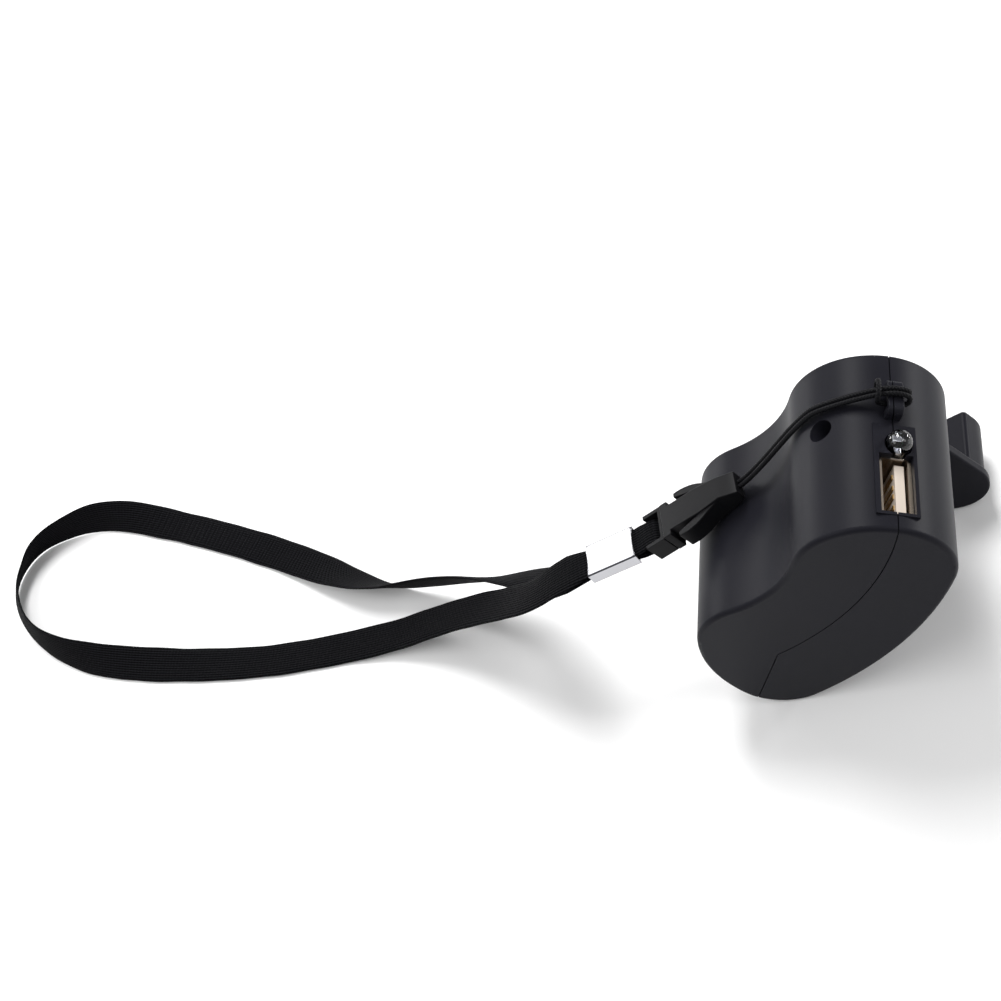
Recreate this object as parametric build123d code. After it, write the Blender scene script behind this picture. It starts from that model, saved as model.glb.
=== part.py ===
from build123d import *
import math
import os

# Hand crank phone charger.  Lengths in millimetres, angles in degrees.
#
# The casing is a kidney-shaped profile run along a straight depth.  It is drawn in its own
# frame, the case frame: X runs along the profile towards the USB end, Y is the depth, from
# the plain end face to the crank face, and Z points to the side with the hollow waist.  The
# crank shaft is the origin.  The finished charger then lies as it does at rest, on the toe
# of the casing and on the tip of the crank arm, with +Y still towards the crank.

# ---- casing profile: three round lobes joined by tangent arcs ----
USB_LOBE, USB_LOBE_R = (10.33, 3.07), 15.99
HEEL, HEEL_R = (-24.87, 5.73), 15.87
TOE, TOE_R = (-38.78, -4.17), 11.11
BELLY_R = 96.64
WAIST_R = 28.23
BACK_R = 34.81

# ---- casing shells ----
CASE_DEPTH = 42.0
SIDE_WALL = 1.8
END_WALL = 2.0
RIM_ROUND = 1.0
SEAM_WIDTH = 0.24
SEAM_DEPTH = 0.5
SKIN = 0.5                      # how far inner posts and ribs stay below the outer surface
PARTING_CENTRE_X = -8.3
PARTING_R = 77.3
PARTING_LOW = -0.6              # height of the parting curve at its lowest point
PARTING_KINK_X = -28.8
PARTING_SLOPE = 17.5            # fall of the straight stretch towards the toe
FAR = 80.0                      # larger than the casing, for cutting blocks
PAST = 1.0                      # how far a cut runs past the face that it opens

# ---- casing screws and their posts, along Z ----
SCREW_SPOTS = ((16.3, 25.4), (-38.5, 6.2))
POST_R = 3.4
COUNTERBORE_R = 2.4
COUNTERBORE_FLOOR = 9.0
SCREW_HEAD_R = 2.1
SCREW_HEAD_H = 1.7
SCREW_SHANK_R = 1.3
SCREW_CLEARANCE = 0.15
SCREW_BITE = 7.5                # thread held in the lower shell
DRIVE_SLOT = 0.7

# ---- USB port, indicator lamp and the flat pad round them ----
PORT_ANGLE = 15.55              # where the pad stands on the USB lobe
PAD_RISE = 0.11                 # pad face above the lobe's crest
PAD_ACROSS = (-4.4, 4.0)        # towards the belly side, towards the waist side
PAD_Y = (3.5, 24.3)
USB_Y, USB_ACROSS = 10.8, -0.35
USB_SIZE = (13.1, 5.7, 14.0)
USB_SHEET = 0.35
USB_LIP = 0.4                   # flare of the shell's long sides at the mouth
USB_GAP = 0.1
USB_SET_BACK = 1.3
USB_WINDOW = (1.6, 3.0)         # spring windows in the shell's broad faces
USB_WINDOW_AT = 6.5
TONGUE_SIZE = (11.1, 1.9, 8.9)
TONGUE_SET_BACK = 1.0
TONGUE_OFFSET = 1.15            # from the middle of the shell, towards the belly side
CONTACT_SIZE = (1.0, 0.25, 7.4)
CONTACT_PITCH = (-3.5, -1.0, 1.0, 3.5)
USB_BLOCK_LENGTH = 3.6
LAMP_Y, LAMP_ACROSS = 19.9, -1.0
LAMP_R = 2.5
LAMP_STAND_OUT = 3.1
LAMP_BODY = 5.0
LAMP_FLANGE_R = 2.9
LAMP_FLANGE_H = 1.0
LAMP_GAP = 0.3
LEAD_R = 0.25
LEAD_HALF_PITCH = 1.27
LEAD_STRAIGHT, LEAD_BEND_R = 2.0, 0.7

# ---- lanyard lug: an arch along the depth ----
LUG_Y = (25.5, 33.5)
LUG_HALF_WIDTH = 1.6
LUG_RISE = 3.0
LUG_FOOT = 1.8
LUG_BAR = 1.1
LUG_ROUND = 1.5
LUG_EDGE = 0.3

# ---- circuit board, seen from the port: depth, length inwards ----
BOARD_Y = (2.6, 21.6)
BOARD_INNER = (6.2, 27.0)
BOARD_T = 1.2
BOARD_GAP = 0.05
BOARD_REST_Y = (3.4, 19.0)
BOARD_REST_W = 2.0
BOARD_REST_AT = 9.0
CAPACITOR = (4.0, 10.0)         # radius, length
CAPACITOR_Y, CAPACITOR_AT = 7.4, 21.2
CAPACITOR_EDGE = 0.4
REGULATOR = (6.5, 2.3, 5.6)
REGULATOR_Y, REGULATOR_AT = 17.2, 20.4
REGULATOR_TAB = (5.2, 0.5, 2.0)
DIODE_R, DIODE_L = 0.9, 3.4
DIODE_Y = (12.6, 15.0, 17.4, 19.8)
DIODE_AT = 25.2
COIL_R, COIL_H = 3.2, 3.0
COIL_GROOVE = 0.5
COIL_Y, COIL_AT = 12.3, 17.5

# ---- gear train: involute teeth, module 0.5 ----
MODULE = 0.5
PRESSURE_ANGLE = 25.0
TOOTH_PLAY = 0.05
ROOT_DEPTH = 1.25
CRANK_TEETH = 48
FIRST_PINION_TEETH, FIRST_WHEEL_TEETH = 16, 42
SECOND_PINION_TEETH, SECOND_WHEEL_TEETH = 14, 36
ROTOR_TEETH = 12
FIRST_AXLE_ANGLE = 197.1        # from the crank shaft
GENERATOR = (-17.0, 2.0)
GEAR_GAP = 0.4
CRANK_GEAR_T = 3.2
COVER_GEAR_GAP = 0.3
WHEEL_T = 3.0
ROTOR_PINION_T = 3.2
LIGHTENING = 5
LIGHTENING_R = 2.3
LIGHTENING_CIRCLE_R = 7.3
HUB_R = 2.2
AXLE_R = 1.0
RUNNING = 0.05                  # radial play of each shaft that turns
PLATE_T = 1.6
PLATE_SPACING = 12.5            # from the carrier's lower face to the cover's
COVER_WALL_GAP = 0.1
PLATE_HUB_R = 6.0
PLATE_EAR_R = 1.9
PLATE_POSTS = ((10.65, -9.5), (-24.0, 15.5), (-42.5, -7.0))
PLATE_POST_R = 1.5
RIVET_R = 1.0
RAIL_DEPTH = 2.2
RAIL_R = 6.0
RAIL_SIDE = 1.5
FIT_GAP = 0.1                   # beside a piece that is held but not pressed in
CRANK_SHAFT_R = 2.0
SHAFT_FLAT = 1.5
BUSH_WALL = 1.35
BUSH_STAND_OUT = 0.4

# ---- generator ----
CAN_R = 12.0
CAN_T = 1.0
CAN_LENGTH = 14.0
NOSE_R = 3.0
ROTOR_SHAFT_R = 1.0
MAGNET_R = (9.2, 11.0)
MAGNET_LENGTH = 10.8
MAGNET_SWEEP = 120.0
ARMATURE_R = 8.9
ARMATURE_LENGTH = 8.0
ARMATURE_DROP = 2.8             # from the carrier to the core
ARMATURE_HUB_R = 3.0
ARMATURE_NECK = 2.4
ARMATURE_SHOE = 1.3
ARMATURE_POLES = 3
SHOE_SWEEP = 96.0
WINDING_T = 1.1
COMMUTATOR_R = 2.6
COMMUTATOR_LENGTH = 1.8
COMMUTATOR_GAP = 1.2
END_CAP_T = 1.5
BRUSH_T = 0.3
BRUSH_GAP = 0.1
BRUSH_W = 1.2
BRUSH_X = (-1.75, 5.25)         # the leaf's ends, from the generator's axis
TERMINAL = (1.0, 0.4, 3.0)
TERMINAL_AT = 8.6
TERMINAL_HALF_PITCH = 2.0
LEAD_WIRE_R = 0.6
LEAD_WIRE_OUT, LEAD_WIRE_BEND_R = 2.4, 1.6
LEAD_WIRE_HALF_PITCH = 2.0      # where the two wires end on the board
LEAD_WIRE_SHIFT = 1.0
CAN_SCREW_R = 1.0
CAN_SCREW_HEAD_R = 1.8
CAN_SCREW_HEAD_H = 0.6
CAN_SCREW_CIRCLE_R = 5.5

# ---- crank ----
CRANK_TIP = (-11.93, -32.72)
CRANK_LIFT = 2.5
ARM_T = 2.3
ARM_HUB_R = 8.0
ARM_TIP_R = 9.0
ARM_ROUND = 0.5
HUB_BOSS_R = 6.0
HUB_BOSS_GAP = 0.1
SHAFT_STAND = 0.4               # shaft end below the arm's outer face
CRANK_SCREW_R = 1.1
CRANK_SCREW_LENGTH = 7.0
CRANK_SCREW_HEAD = (3.0, 1.4)
GRIP_HEIGHT = 14.1
GRIP_GAP = 0.1
GRIP_R = 8.1
GRIP_FLAT = 3.8
GRIP_CORNER = 1.2
GRIP_TOP_ROUND = 1.0
GRIP_PIN_R = 2.0
GRIP_PIN_COVER = 0.8            # arm left under the pin's blind hole
GRIP_PIN_HEAD = (3.6, 1.4)
GRIP_RECESS = (4.2, 3.0)

# ---- lanyard cord: its loop is hitched to the lug and lies over the USB lobe ----
CORD_D = 1.1
CORD_PITCH = 1.3                # between the two legs where they enter the socket
CORD_LEAD = 3.0                 # straight stretch out of the socket
CORD_ROUND_LOBE = ((78.5, 17.6), (61.4, 17.6))      # bearing and distance from the lobe's centre
CORD_LEG_Y = (30.3, 29.1)
CORD_AFTER_BAR = (2.5, 3.9)
# Hitch between the two legs, in the port frame: depth, towards the waist side, outwards.
CORD_HITCH = (
    (30.3, -2.8, 3.9),
    (31.0, -2.8, 1.05),
    (31.0, 3.3, 1.05),
    (31.9, 3.8, 3.2),
    (31.0, 4.0, 4.9),
    (28.4, 4.0, 4.9),
    (27.5, 3.8, 3.2),
    (28.4, 3.3, 1.05),
    (28.4, -2.8, 1.05),
    (29.1, -2.8, 3.9),
)
CORD_FILLET = 0.45              # share of the shorter run that an arc may take

# ---- release buckle; X of its frame points to the cord, X = 0 is the seam ----
BUCKLE_AT = (-15.75, 24.45, 41.7)
BUCKLE_HEADING, BUCKLE_RISE, BUCKLE_ROLL = 12.4, 18.2, -4.3
SOCKET_THICKNESS = 5.6
SOCKET_HEAD = (2.0, 4.7)        # length, half width
SPINE_HALF_WIDTH = 3.5
LEVER_ROOT_X, RIDGE_X, TAIL_X = 10.0, 15.2, 19.3
RIDGE_HALF_WIDTH = 2.9
TAIL_HALF_WIDTH = 3.0
TAIL_THICKNESS = 2.8
LEVER_END_X = 3.8
LEVER_INNER, LEVER_OUTER = 4.9, 6.1
LEVER_BULGE = (8.0, 5.8)        # length, half width
LEVER_SHOULDER = (11.6, 4.2)
LEVER_THICKNESS = 4.6
TONGUE = (12.3, 2.2, 1.8)       # length, half width, half thickness
TONGUE_NOSE = 0.8
TONGUE_GAP = 0.1
PLUG_HALF_WIDTH = 4.7
PLUG_THICKNESS = 5.2
PLUG_LENGTH = 5.0
PLUG_FLANGE = 0.8
PLUG_SIDE = 1.0
PLUG_BAR_R = 0.8
PLUG_BAR_X = -4.0
BUCKLE_EDGE = 0.25

# ---- webbing and its crimp; the crimp's frame starts on the axis of the plug's bar ----
CRIMP_PITCH = 11.0
CRIMP_X = (-17.0, -4.8)
CRIMP_SIZE = (8.7, 3.2)
CRIMP_WALL = 0.5
CRIMP_ROUND = 0.6
WEB_T = 1.0
WEB_WIDTH = 10.0
WEB_PINCHED = 7.5               # where the crimp gathers it
WEB_IN_PLUG = 7.2
WEB_SPREAD = 6.0                # length over which it regains its full width
WEB_BAR_GAP = 0.1
WEB_LAYER_GAP = 0.1
WEB_LEADS = (7.0, 4.2)          # first and last straight stretch, at the crimp
WEB_FLOOR_GAP = 0.02
# Loop of webbing from the crimp's upper layer round to its lower one: x, y, z of the middle
# line over the toe's contact point, and the roll about that line, 0 lying flat.
WEB_ROUTE = (
    (-53.6, 18.2, 31.9, 3),
    (-66.9, 23.4, 22.3, 0),
    (-80.0, 27.8, 14.5, 0),
    (-94.3, 30.4, 7.5, 0),
    (-108.0, 31.2, 2.5, 0),
    (-122.0, 31.2, 0.5, 0),
    (-135.0, 30.4, 0.5, 0),
    (-151.0, 30.2, 0.5, 0),
    (-168.6, 31.4, 0.5, -4),
    (-186.0, 33.2, 0.5, -14),
    (-202.0, 35.6, 0.5, -28),
    (-214.0, 38.1, 0.5, -42),
    (-225.0, 41.8, 2.0, -56),
    (-234.5, 46.6, 3.0, -66),
    (-243.0, 53.3, 3.0, -64),
    (-249.4, 61.0, 3.0, -55),
    (-253.6, 69.0, 3.0, -48),
    (-253.2, 76.3, 3.0, -50),
    (-250.0, 82.3, 4.0, -64),
    (-243.0, 86.4, 5.0, -82),
    (-233.5, 89.1, 5.0, -102),
    (-225.0, 90.3, 4.0, -124),
    (-214.0, 89.3, 2.0, -152),
    (-200.0, 84.9, 0.5, -174),
    (-185.0, 79.4, 0.5, -180),
    (-168.0, 72.3, 0.5, -180),
    (-152.0, 65.0, 0.5, -180),
    (-138.0, 57.8, 0.5, -190),
    (-127.0, 51.8, 0.5, -208),
    (-117.0, 47.1, 3.0, -230),
    (-108.0, 45.0, 5.0, -246),
    (-99.0, 43.6, 6.8, -251),
    (-88.0, 41.0, 10.0, -250),
    (-77.0, 37.4, 13.4, -243),
    (-66.5, 34.0, 17.2, -218),
    (-56.0, 28.6, 22.2, -192),
    (-46.0, 21.8, 29.6, -185),
)
WEB_STEPS = 3                   # cross-sections on each bend of the route


# ---------------------------------------------------------------- plane geometry
def polar(centre, radius, angle):
    turn = math.radians(angle)
    return (centre[0] + radius * math.cos(turn), centre[1] + radius * math.sin(turn))


def bearing(start, end):
    return math.degrees(math.atan2(end[1] - start[1], end[0] - start[0]))


def circles_meet(centre_1, radius_1, centre_2, radius_2, side):
    """Crossing of two circles, left (+1) or right (-1) of the line from the first to the second."""
    gap = math.dist(centre_1, centre_2)
    along = (radius_1 ** 2 - radius_2 ** 2 + gap ** 2) / (2 * gap)
    turn = math.degrees(math.acos(along / radius_1))
    return polar(centre_1, radius_1, bearing(centre_1, centre_2) + side * turn)


def round_arc(centre, radius, start, end, turn=1):
    """Arc from the bearing start to the bearing end, anticlockwise (+1) or clockwise (-1)."""
    sweep = turn * ((turn * (end - start)) % 360)
    points = [polar(centre, radius, start + sweep * part) for part in (0, 0.5, 1)]
    return ThreePointArc(*points)


def case_profile(inset=0.0):
    """The kidney outline, or a line parallel to it, inset by that much."""
    belly = circles_meet(USB_LOBE, BELLY_R - USB_LOBE_R, TOE, BELLY_R - TOE_R, -1)
    waist = circles_meet(USB_LOBE, WAIST_R + USB_LOBE_R, HEEL, WAIST_R + HEEL_R, -1)
    back = circles_meet(HEEL, BACK_R - HEEL_R, TOE, BACK_R - TOE_R, 1)
    lobe_r, heel_r, toe_r = USB_LOBE_R - inset, HEEL_R - inset, TOE_R - inset
    edges = [
        round_arc(USB_LOBE, lobe_r, bearing(belly, USB_LOBE), bearing(USB_LOBE, waist)),
        round_arc(waist, WAIST_R + inset, bearing(waist, USB_LOBE), bearing(waist, HEEL), -1),
        round_arc(HEEL, heel_r, bearing(HEEL, waist), bearing(back, HEEL)),
        round_arc(back, BACK_R - inset, bearing(back, HEEL), bearing(back, TOE)),
        round_arc(TOE, toe_r, bearing(back, TOE), bearing(belly, TOE)),
        round_arc(belly, BELLY_R - inset, bearing(belly, TOE), bearing(belly, USB_LOBE)),
    ]
    return make_face(edges)


def above_parting(rise=0.0):
    """All of the profile plane above the parting line, which is shifted by rise."""
    top = PARTING_LOW + PARTING_R + rise
    drop = lambda x: top - math.sqrt(PARTING_R ** 2 - (x - PARTING_CENTRE_X) ** 2)
    kink = (PARTING_KINK_X, drop(PARTING_KINK_X))
    reach = USB_LOBE[0] + 2 * USB_LOBE_R
    end = (reach, drop(reach))
    toe_end = (-FAR, kink[1] - (FAR + PARTING_KINK_X) * math.tan(math.radians(PARTING_SLOPE)))
    curve = ThreePointArc(kink, (PARTING_CENTRE_X, drop(PARTING_CENTRE_X)), end)
    return make_face([
        curve,
        Line(end, (reach, FAR)),
        Line((reach, FAR), (-FAR, FAR)),
        Line((-FAR, FAR), toe_end),
        Line(toe_end, kink),
    ])


# ---------------------------------------------------------------- solids in the case frame
def slab(sketch, low, high):
    """A profile-plane sketch made solid from depth low to depth high."""
    return extrude(Plane.XZ.offset(-high) * sketch, amount=high - low)


def rod(centre, radius, low, high):
    return slab(Pos(*centre) * Circle(radius), low, high)


def tube(centre, outer, inner, low, high):
    return slab(Pos(*centre) * (Circle(outer) - Circle(inner)), low, high)


def d_section(radius, flat):
    return Circle(radius) & Pos(flat - radius, 0) * Rectangle(2 * radius, 2 * radius)


PORT_REACH = USB_LOBE_R + PAD_RISE
PORT_CENTRE = polar(USB_LOBE, PORT_REACH, PORT_ANGLE)
PORT_OUT = polar((0, 0), 1, PORT_ANGLE)
# Port frame: X is the depth, Y points to the waist side and Z out of the pad's face.
PORT = Plane(
    origin=(PORT_CENTRE[0], 0, PORT_CENTRE[1]), x_dir=(0, 1, 0),
    z_dir=(PORT_OUT[0], 0, PORT_OUT[1]),
)


def port_box(x, y, z):
    """A box in the port frame, each side given as (low, high)."""
    size = [high - low for low, high in (x, y, z)]
    middle = [(high + low) / 2 for low, high in (x, y, z)]
    return PORT * Pos(*middle) * Box(*size)


def port_rod(x, y, radius, low, high):
    return PORT * Pos(x, y, (low + high) / 2) * Cylinder(radius, high - low)


def around(middle, width):
    return (middle - width / 2, middle + width / 2)


# ---------------------------------------------------------------- casing
BOARD_TOP = USB_ACROSS - USB_SIZE[1] / 2 - BOARD_GAP
BOARD_BOTTOM = BOARD_TOP - BOARD_T


def lug_arch():
    """The bridge that the cord is hitched to, open crosswise under its bar."""
    arch = port_box(LUG_Y, (-LUG_HALF_WIDTH, LUG_HALF_WIDTH), (-SIDE_WALL, LUG_RISE))
    outwards = Axis(PORT.origin, PORT.z_dir)
    ends = arch.edges().filter_by(Axis(PORT.origin, PORT.y_dir))
    arch = fillet(ends.group_by(outwards)[-1], LUG_ROUND)
    top = arch.faces().sort_by(outwards)[-1]
    arch = fillet(top.edges().filter_by(Axis.Y), LUG_EDGE)
    eye_y = (LUG_Y[0] + LUG_FOOT, LUG_Y[1] - LUG_FOOT)
    eye = port_box(eye_y, (-FAR / 2, FAR / 2), (-PAD_RISE, LUG_RISE - LUG_BAR))
    return arch - eye


def screw_column(spot, radius, low, high):
    return Pos(spot[0], spot[1], (low + high) / 2) * Cylinder(radius, high - low)


def board_rests():
    """Ribs under the circuit board, grown from the belly-side wall."""
    rests = [
        port_box((y, y + BOARD_REST_W), (-FAR, BOARD_BOTTOM),
                 (-BOARD_REST_AT - BOARD_REST_W, -BOARD_REST_AT))
        for y in BOARD_REST_Y
    ]
    return rests[0] + rests[1]


def gearbox_rails(inside):
    """Pads on the wall beside each ear of the gear carrier, which sits between their lips."""
    low, high = CARRIER_Y - RAIL_SIDE, CARRIER_Y + PLATE_T + RAIL_SIDE
    ring = case_profile(SKIN) - case_profile(SIDE_WALL + RAIL_DEPTH)
    ears = Sketch() + [Pos(*post) * Circle(RAIL_R) for post in PLATE_POSTS]
    posts = Sketch() + [Pos(*post) * Circle(PLATE_POST_R + FIT_GAP) for post in PLATE_POSTS]
    return slab((ring & ears) - posts, low, high) - inside


def housing():
    """Both shells in one, with every opening, before they are parted."""
    block = slab(case_profile(), 0, CASE_DEPTH)
    rims = block.faces().filter_by(Axis.Y).edges()
    block = fillet(rims, RIM_ROUND)
    room = slab(case_profile(SKIN), SKIN, CASE_DEPTH - SKIN)
    hollow = slab(case_profile(SIDE_WALL), END_WALL, CASE_DEPTH - END_WALL)
    body = block - hollow
    inner = board_rests() + gearbox_rails(gear_carrier_plate())
    for spot in SCREW_SPOTS:
        inner += screw_column(spot, POST_R, -FAR, FAR)
    body += inner & room
    body += port_box(PAD_Y, PAD_ACROSS, (-SIDE_WALL, 0))
    body += lug_arch()
    mouth_x = (USB_Y - USB_SIZE[0] / 2 - USB_GAP, LAMP_Y - LAMP_R)
    mouth = around(USB_ACROSS, USB_SIZE[1] + 2 * (USB_LIP + USB_GAP))
    body -= port_box(mouth_x, mouth, (-LAMP_BODY, PAST))
    body -= port_rod(LAMP_Y, LAMP_ACROSS, LAMP_R + LAMP_GAP, -LAMP_BODY, PAST)
    body -= rod((0, 0), BUSH_R, CASE_DEPTH - 2 * END_WALL, CASE_DEPTH + PAST)
    return body, slab(case_profile(SEAM_DEPTH), SEAM_DEPTH, CASE_DEPTH - SEAM_DEPTH)


def casing_shells():
    body, core = housing()
    span = (-PAST, CASE_DEPTH + PAST)
    upper_side = slab(above_parting(), *span)
    seam = slab(above_parting(-SEAM_WIDTH / 2) - above_parting(SEAM_WIDTH / 2), *span) - core
    grooved = body - seam
    waist_half = grooved & upper_side
    belly_half = grooved - upper_side
    for spot in SCREW_SPOTS:
        waist_half -= screw_column(spot, COUNTERBORE_R, COUNTERBORE_FLOOR, FAR)
        waist_half -= screw_column(spot, SCREW_SHANK_R + SCREW_CLEARANCE, -FAR, FAR)
        belly_half -= screw_column(spot, SCREW_SHANK_R, screw_tip(), FAR)
    return keep_largest(waist_half), keep_largest(belly_half)


def keep_largest(shape):
    return shape.solids().sort_by(SortBy.VOLUME)[-1]


def screw_tip():
    return PARTING_LOW - SCREW_BITE


def casing_screws():
    """Two pan-head screws that draw the shells together."""
    screws = []
    for spot in SCREW_SPOTS:
        head_top = COUNTERBORE_FLOOR + SCREW_HEAD_H
        screw = screw_column(spot, SCREW_SHANK_R, screw_tip(), COUNTERBORE_FLOOR)
        screw += screw_column(spot, SCREW_HEAD_R, COUNTERBORE_FLOOR, head_top)
        for turn in (0, 90):
            slot = Box(2 * SCREW_HEAD_R - DRIVE_SLOT, DRIVE_SLOT, SCREW_HEAD_H)
            screw -= Pos(spot[0], spot[1], head_top) * Rot(0, 0, turn) * slot
        screws.append(screw)
    return screws


# ---------------------------------------------------------------- port and electronics
TONGUE_ACROSS = USB_ACROSS - TONGUE_OFFSET


def usb_socket_shell():
    width, height, length = USB_SIZE
    back = -USB_SET_BACK - length
    outer = port_box(around(USB_Y, width), around(USB_ACROSS, height), (back, -USB_SET_BACK))
    outer = fillet(outer.edges().filter_by(Axis(PORT.origin, PORT.z_dir)), 2 * USB_SHEET)
    bore = port_box(around(USB_Y, width - 2 * USB_SHEET),
                    around(USB_ACROSS, height - 2 * USB_SHEET), (back, PAST))
    lips = port_box(around(USB_Y, width - 4 * USB_SHEET), around(USB_ACROSS, height + 2 * USB_LIP),
                    (-USB_SET_BACK - USB_SHEET, -USB_SET_BACK))
    windows = [
        port_box(around(USB_Y + side * width / 4, USB_WINDOW[0]), around(USB_ACROSS, 2 * height),
                 around(-USB_WINDOW_AT, USB_WINDOW[1]))
        for side in (-1, 1)
    ]
    return outer + lips - bore - windows


def usb_block():
    """The insulating block at the back of the socket, with its tongue."""
    width, height, length = USB_SIZE
    back = -USB_SET_BACK - length
    block = port_box(around(USB_Y, width - 2 * USB_SHEET),
                     around(USB_ACROSS, height - 2 * USB_SHEET), (back, back + USB_BLOCK_LENGTH))
    tongue = port_box(around(USB_Y, TONGUE_SIZE[0]), around(TONGUE_ACROSS, TONGUE_SIZE[1]),
                      (back + USB_BLOCK_LENGTH, -USB_SET_BACK - TONGUE_SET_BACK))
    return block + tongue


def usb_contacts():
    """Four spring contacts on the face of the tongue."""
    width, thickness, length = CONTACT_SIZE
    face = TONGUE_ACROSS + TONGUE_SIZE[1] / 2
    front = -USB_SET_BACK - 2 * TONGUE_SET_BACK
    return [
        port_box(around(USB_Y + pitch, width), (face, face + thickness), (front - length, front))
        for pitch in CONTACT_PITCH
    ]


def indicator_lamp():
    """A round lamp with a domed lens, standing proud of the pad."""
    crown = LAMP_STAND_OUT - LAMP_R
    lens = port_rod(LAMP_Y, LAMP_ACROSS, LAMP_R, -LAMP_BODY, crown)
    lens += PORT * Pos(LAMP_Y, LAMP_ACROSS, crown) * Sphere(LAMP_R)
    flange = port_rod(LAMP_Y, LAMP_ACROSS, LAMP_FLANGE_R, -LAMP_BODY - LAMP_FLANGE_H, -LAMP_BODY)
    flat = port_box((LAMP_Y - 2 * LAMP_R, LAMP_Y - LAMP_R), (-FAR, FAR), (-2 * LAMP_BODY, -LAMP_BODY))
    return lens + (flange - flat)


def lamp_leads():
    """Two wires from the lamp's base, bent down to the circuit board."""
    base = -LAMP_BODY - LAMP_FLANGE_H
    leads = []
    for side in (-1, 1):
        x = LAMP_Y + side * LEAD_HALF_PITCH
        turn = base - LEAD_STRAIGHT
        corners = ((x, LAMP_ACROSS, base), (x, LAMP_ACROSS, turn), (x, BOARD_TOP, turn))
        path = FilletPolyline(*corners, radius=LEAD_BEND_R)
        lead = sweep(Plane(origin=path @ 0, z_dir=path % 0) * Circle(LEAD_R), path)
        leads.append(PORT * lead)
    return leads


def circuit_board():
    return port_box(BOARD_Y, (BOARD_BOTTOM, BOARD_TOP), (-BOARD_INNER[1], -BOARD_INNER[0]))


def smoothing_capacitor():
    radius, length = CAPACITOR
    low = -CAPACITOR_AT - length / 2
    can = port_rod(CAPACITOR_Y, BOARD_TOP + radius, radius, low, low + length)
    rim = can.edges().filter_by(GeomType.CIRCLE)
    return fillet(rim, CAPACITOR_EDGE)


def voltage_regulator():
    width, height, length = REGULATOR
    tab_w, tab_h, tab_l = REGULATOR_TAB
    z_high = -REGULATOR_AT + length / 2
    body = port_box(around(REGULATOR_Y, width), (BOARD_TOP, BOARD_TOP + height),
                    (z_high - length, z_high))
    tab = port_box(around(REGULATOR_Y, tab_w), (BOARD_TOP, BOARD_TOP + tab_h),
                   (z_high, z_high + tab_l))
    return body + tab


def rectifier_diodes():
    """Four small diodes side by side at the inner end of the board."""
    return [
        port_rod(y, BOARD_TOP + DIODE_R, DIODE_R, -DIODE_AT - DIODE_L / 2, -DIODE_AT + DIODE_L / 2)
        for y in DIODE_Y
    ]


def power_coil():
    """The converter's coil, under the board: a drum with a wound waist."""
    post = PORT * Pos(COIL_Y, BOARD_BOTTOM, -COIL_AT) * Rot(90, 0, 0)
    waist = Cylinder(COIL_R + PAST, COIL_H / 2) - Cylinder(COIL_R - COIL_GROOVE, COIL_H / 2)
    return post * Pos(0, 0, COIL_H / 2) * (Cylinder(COIL_R, COIL_H) - waist)


# ---------------------------------------------------------------- gears
def involute(angle):
    return math.tan(angle) - angle


def gear_face(centre, teeth, tooth_at):
    """Involute gear outline with one tooth centred on the bearing tooth_at."""
    pitch_r = teeth * MODULE / 2
    base_r = pitch_r * math.cos(math.radians(PRESSURE_ANGLE))
    root_r = pitch_r - ROOT_DEPTH * MODULE
    tip_r = pitch_r + MODULE
    foot_r = max(root_r, base_r)
    pitch_inv = involute(math.radians(PRESSURE_ANGLE))

    def half_tooth(radius):
        lean = involute(math.acos(base_r / radius)) if radius > base_r else 0.0
        spread = math.pi / (2 * teeth) - TOOTH_PLAY / (2 * pitch_r) + pitch_inv - lean
        return math.degrees(spread)

    middle_r = (foot_r + tip_r) / 2
    edges = []
    for number in range(teeth):
        here = tooth_at + number * 360 / teeth
        ahead = here + 360 / teeth
        at = lambda radius, side, turn=here: polar(centre, radius, turn + side * half_tooth(radius))
        if root_r < base_r:
            edges.append(Line(at(root_r, -1), at(foot_r, -1)))
        edges.append(ThreePointArc(at(foot_r, -1), at(middle_r, -1), at(tip_r, -1)))
        edges.append(ThreePointArc(at(tip_r, -1), polar(centre, tip_r, here), at(tip_r, 1)))
        edges.append(ThreePointArc(at(tip_r, 1), at(middle_r, 1), at(foot_r, 1)))
        if root_r < base_r:
            edges.append(Line(at(foot_r, 1), at(root_r, 1)))
        valley = polar(centre, root_r, here + 180 / teeth)
        edges.append(ThreePointArc(at(root_r, 1), valley, at(root_r, -1, ahead)))
    return make_face(edges)


def mesh_distance(teeth_1, teeth_2):
    return (teeth_1 + teeth_2) * MODULE / 2


def facing_gap(direction, teeth):
    """Bearing of a tooth, so that a gap faces back along the direction."""
    return direction + 180 + 180 / teeth


CRANK_AXIS = (0.0, 0.0)
FIRST_AXIS = polar(CRANK_AXIS, mesh_distance(CRANK_TEETH, FIRST_PINION_TEETH), FIRST_AXLE_ANGLE)
SECOND_AXIS = circles_meet(
    FIRST_AXIS, mesh_distance(FIRST_WHEEL_TEETH, SECOND_PINION_TEETH),
    GENERATOR, mesh_distance(SECOND_WHEEL_TEETH, ROTOR_TEETH), 1,
)
MESH_1 = bearing(CRANK_AXIS, FIRST_AXIS)
MESH_2 = bearing(FIRST_AXIS, SECOND_AXIS)
MESH_3 = bearing(SECOND_AXIS, GENERATOR)
COVER_Y = CASE_DEPTH - END_WALL - COVER_WALL_GAP - PLATE_T
CARRIER_Y = COVER_Y - PLATE_SPACING
CRANK_GEAR_Y = (COVER_Y - COVER_GEAR_GAP - CRANK_GEAR_T, COVER_Y - COVER_GEAR_GAP)
FIRST_WHEEL_Y = (CRANK_GEAR_Y[0] - GEAR_GAP - WHEEL_T, CRANK_GEAR_Y[0] - GEAR_GAP)
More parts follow.
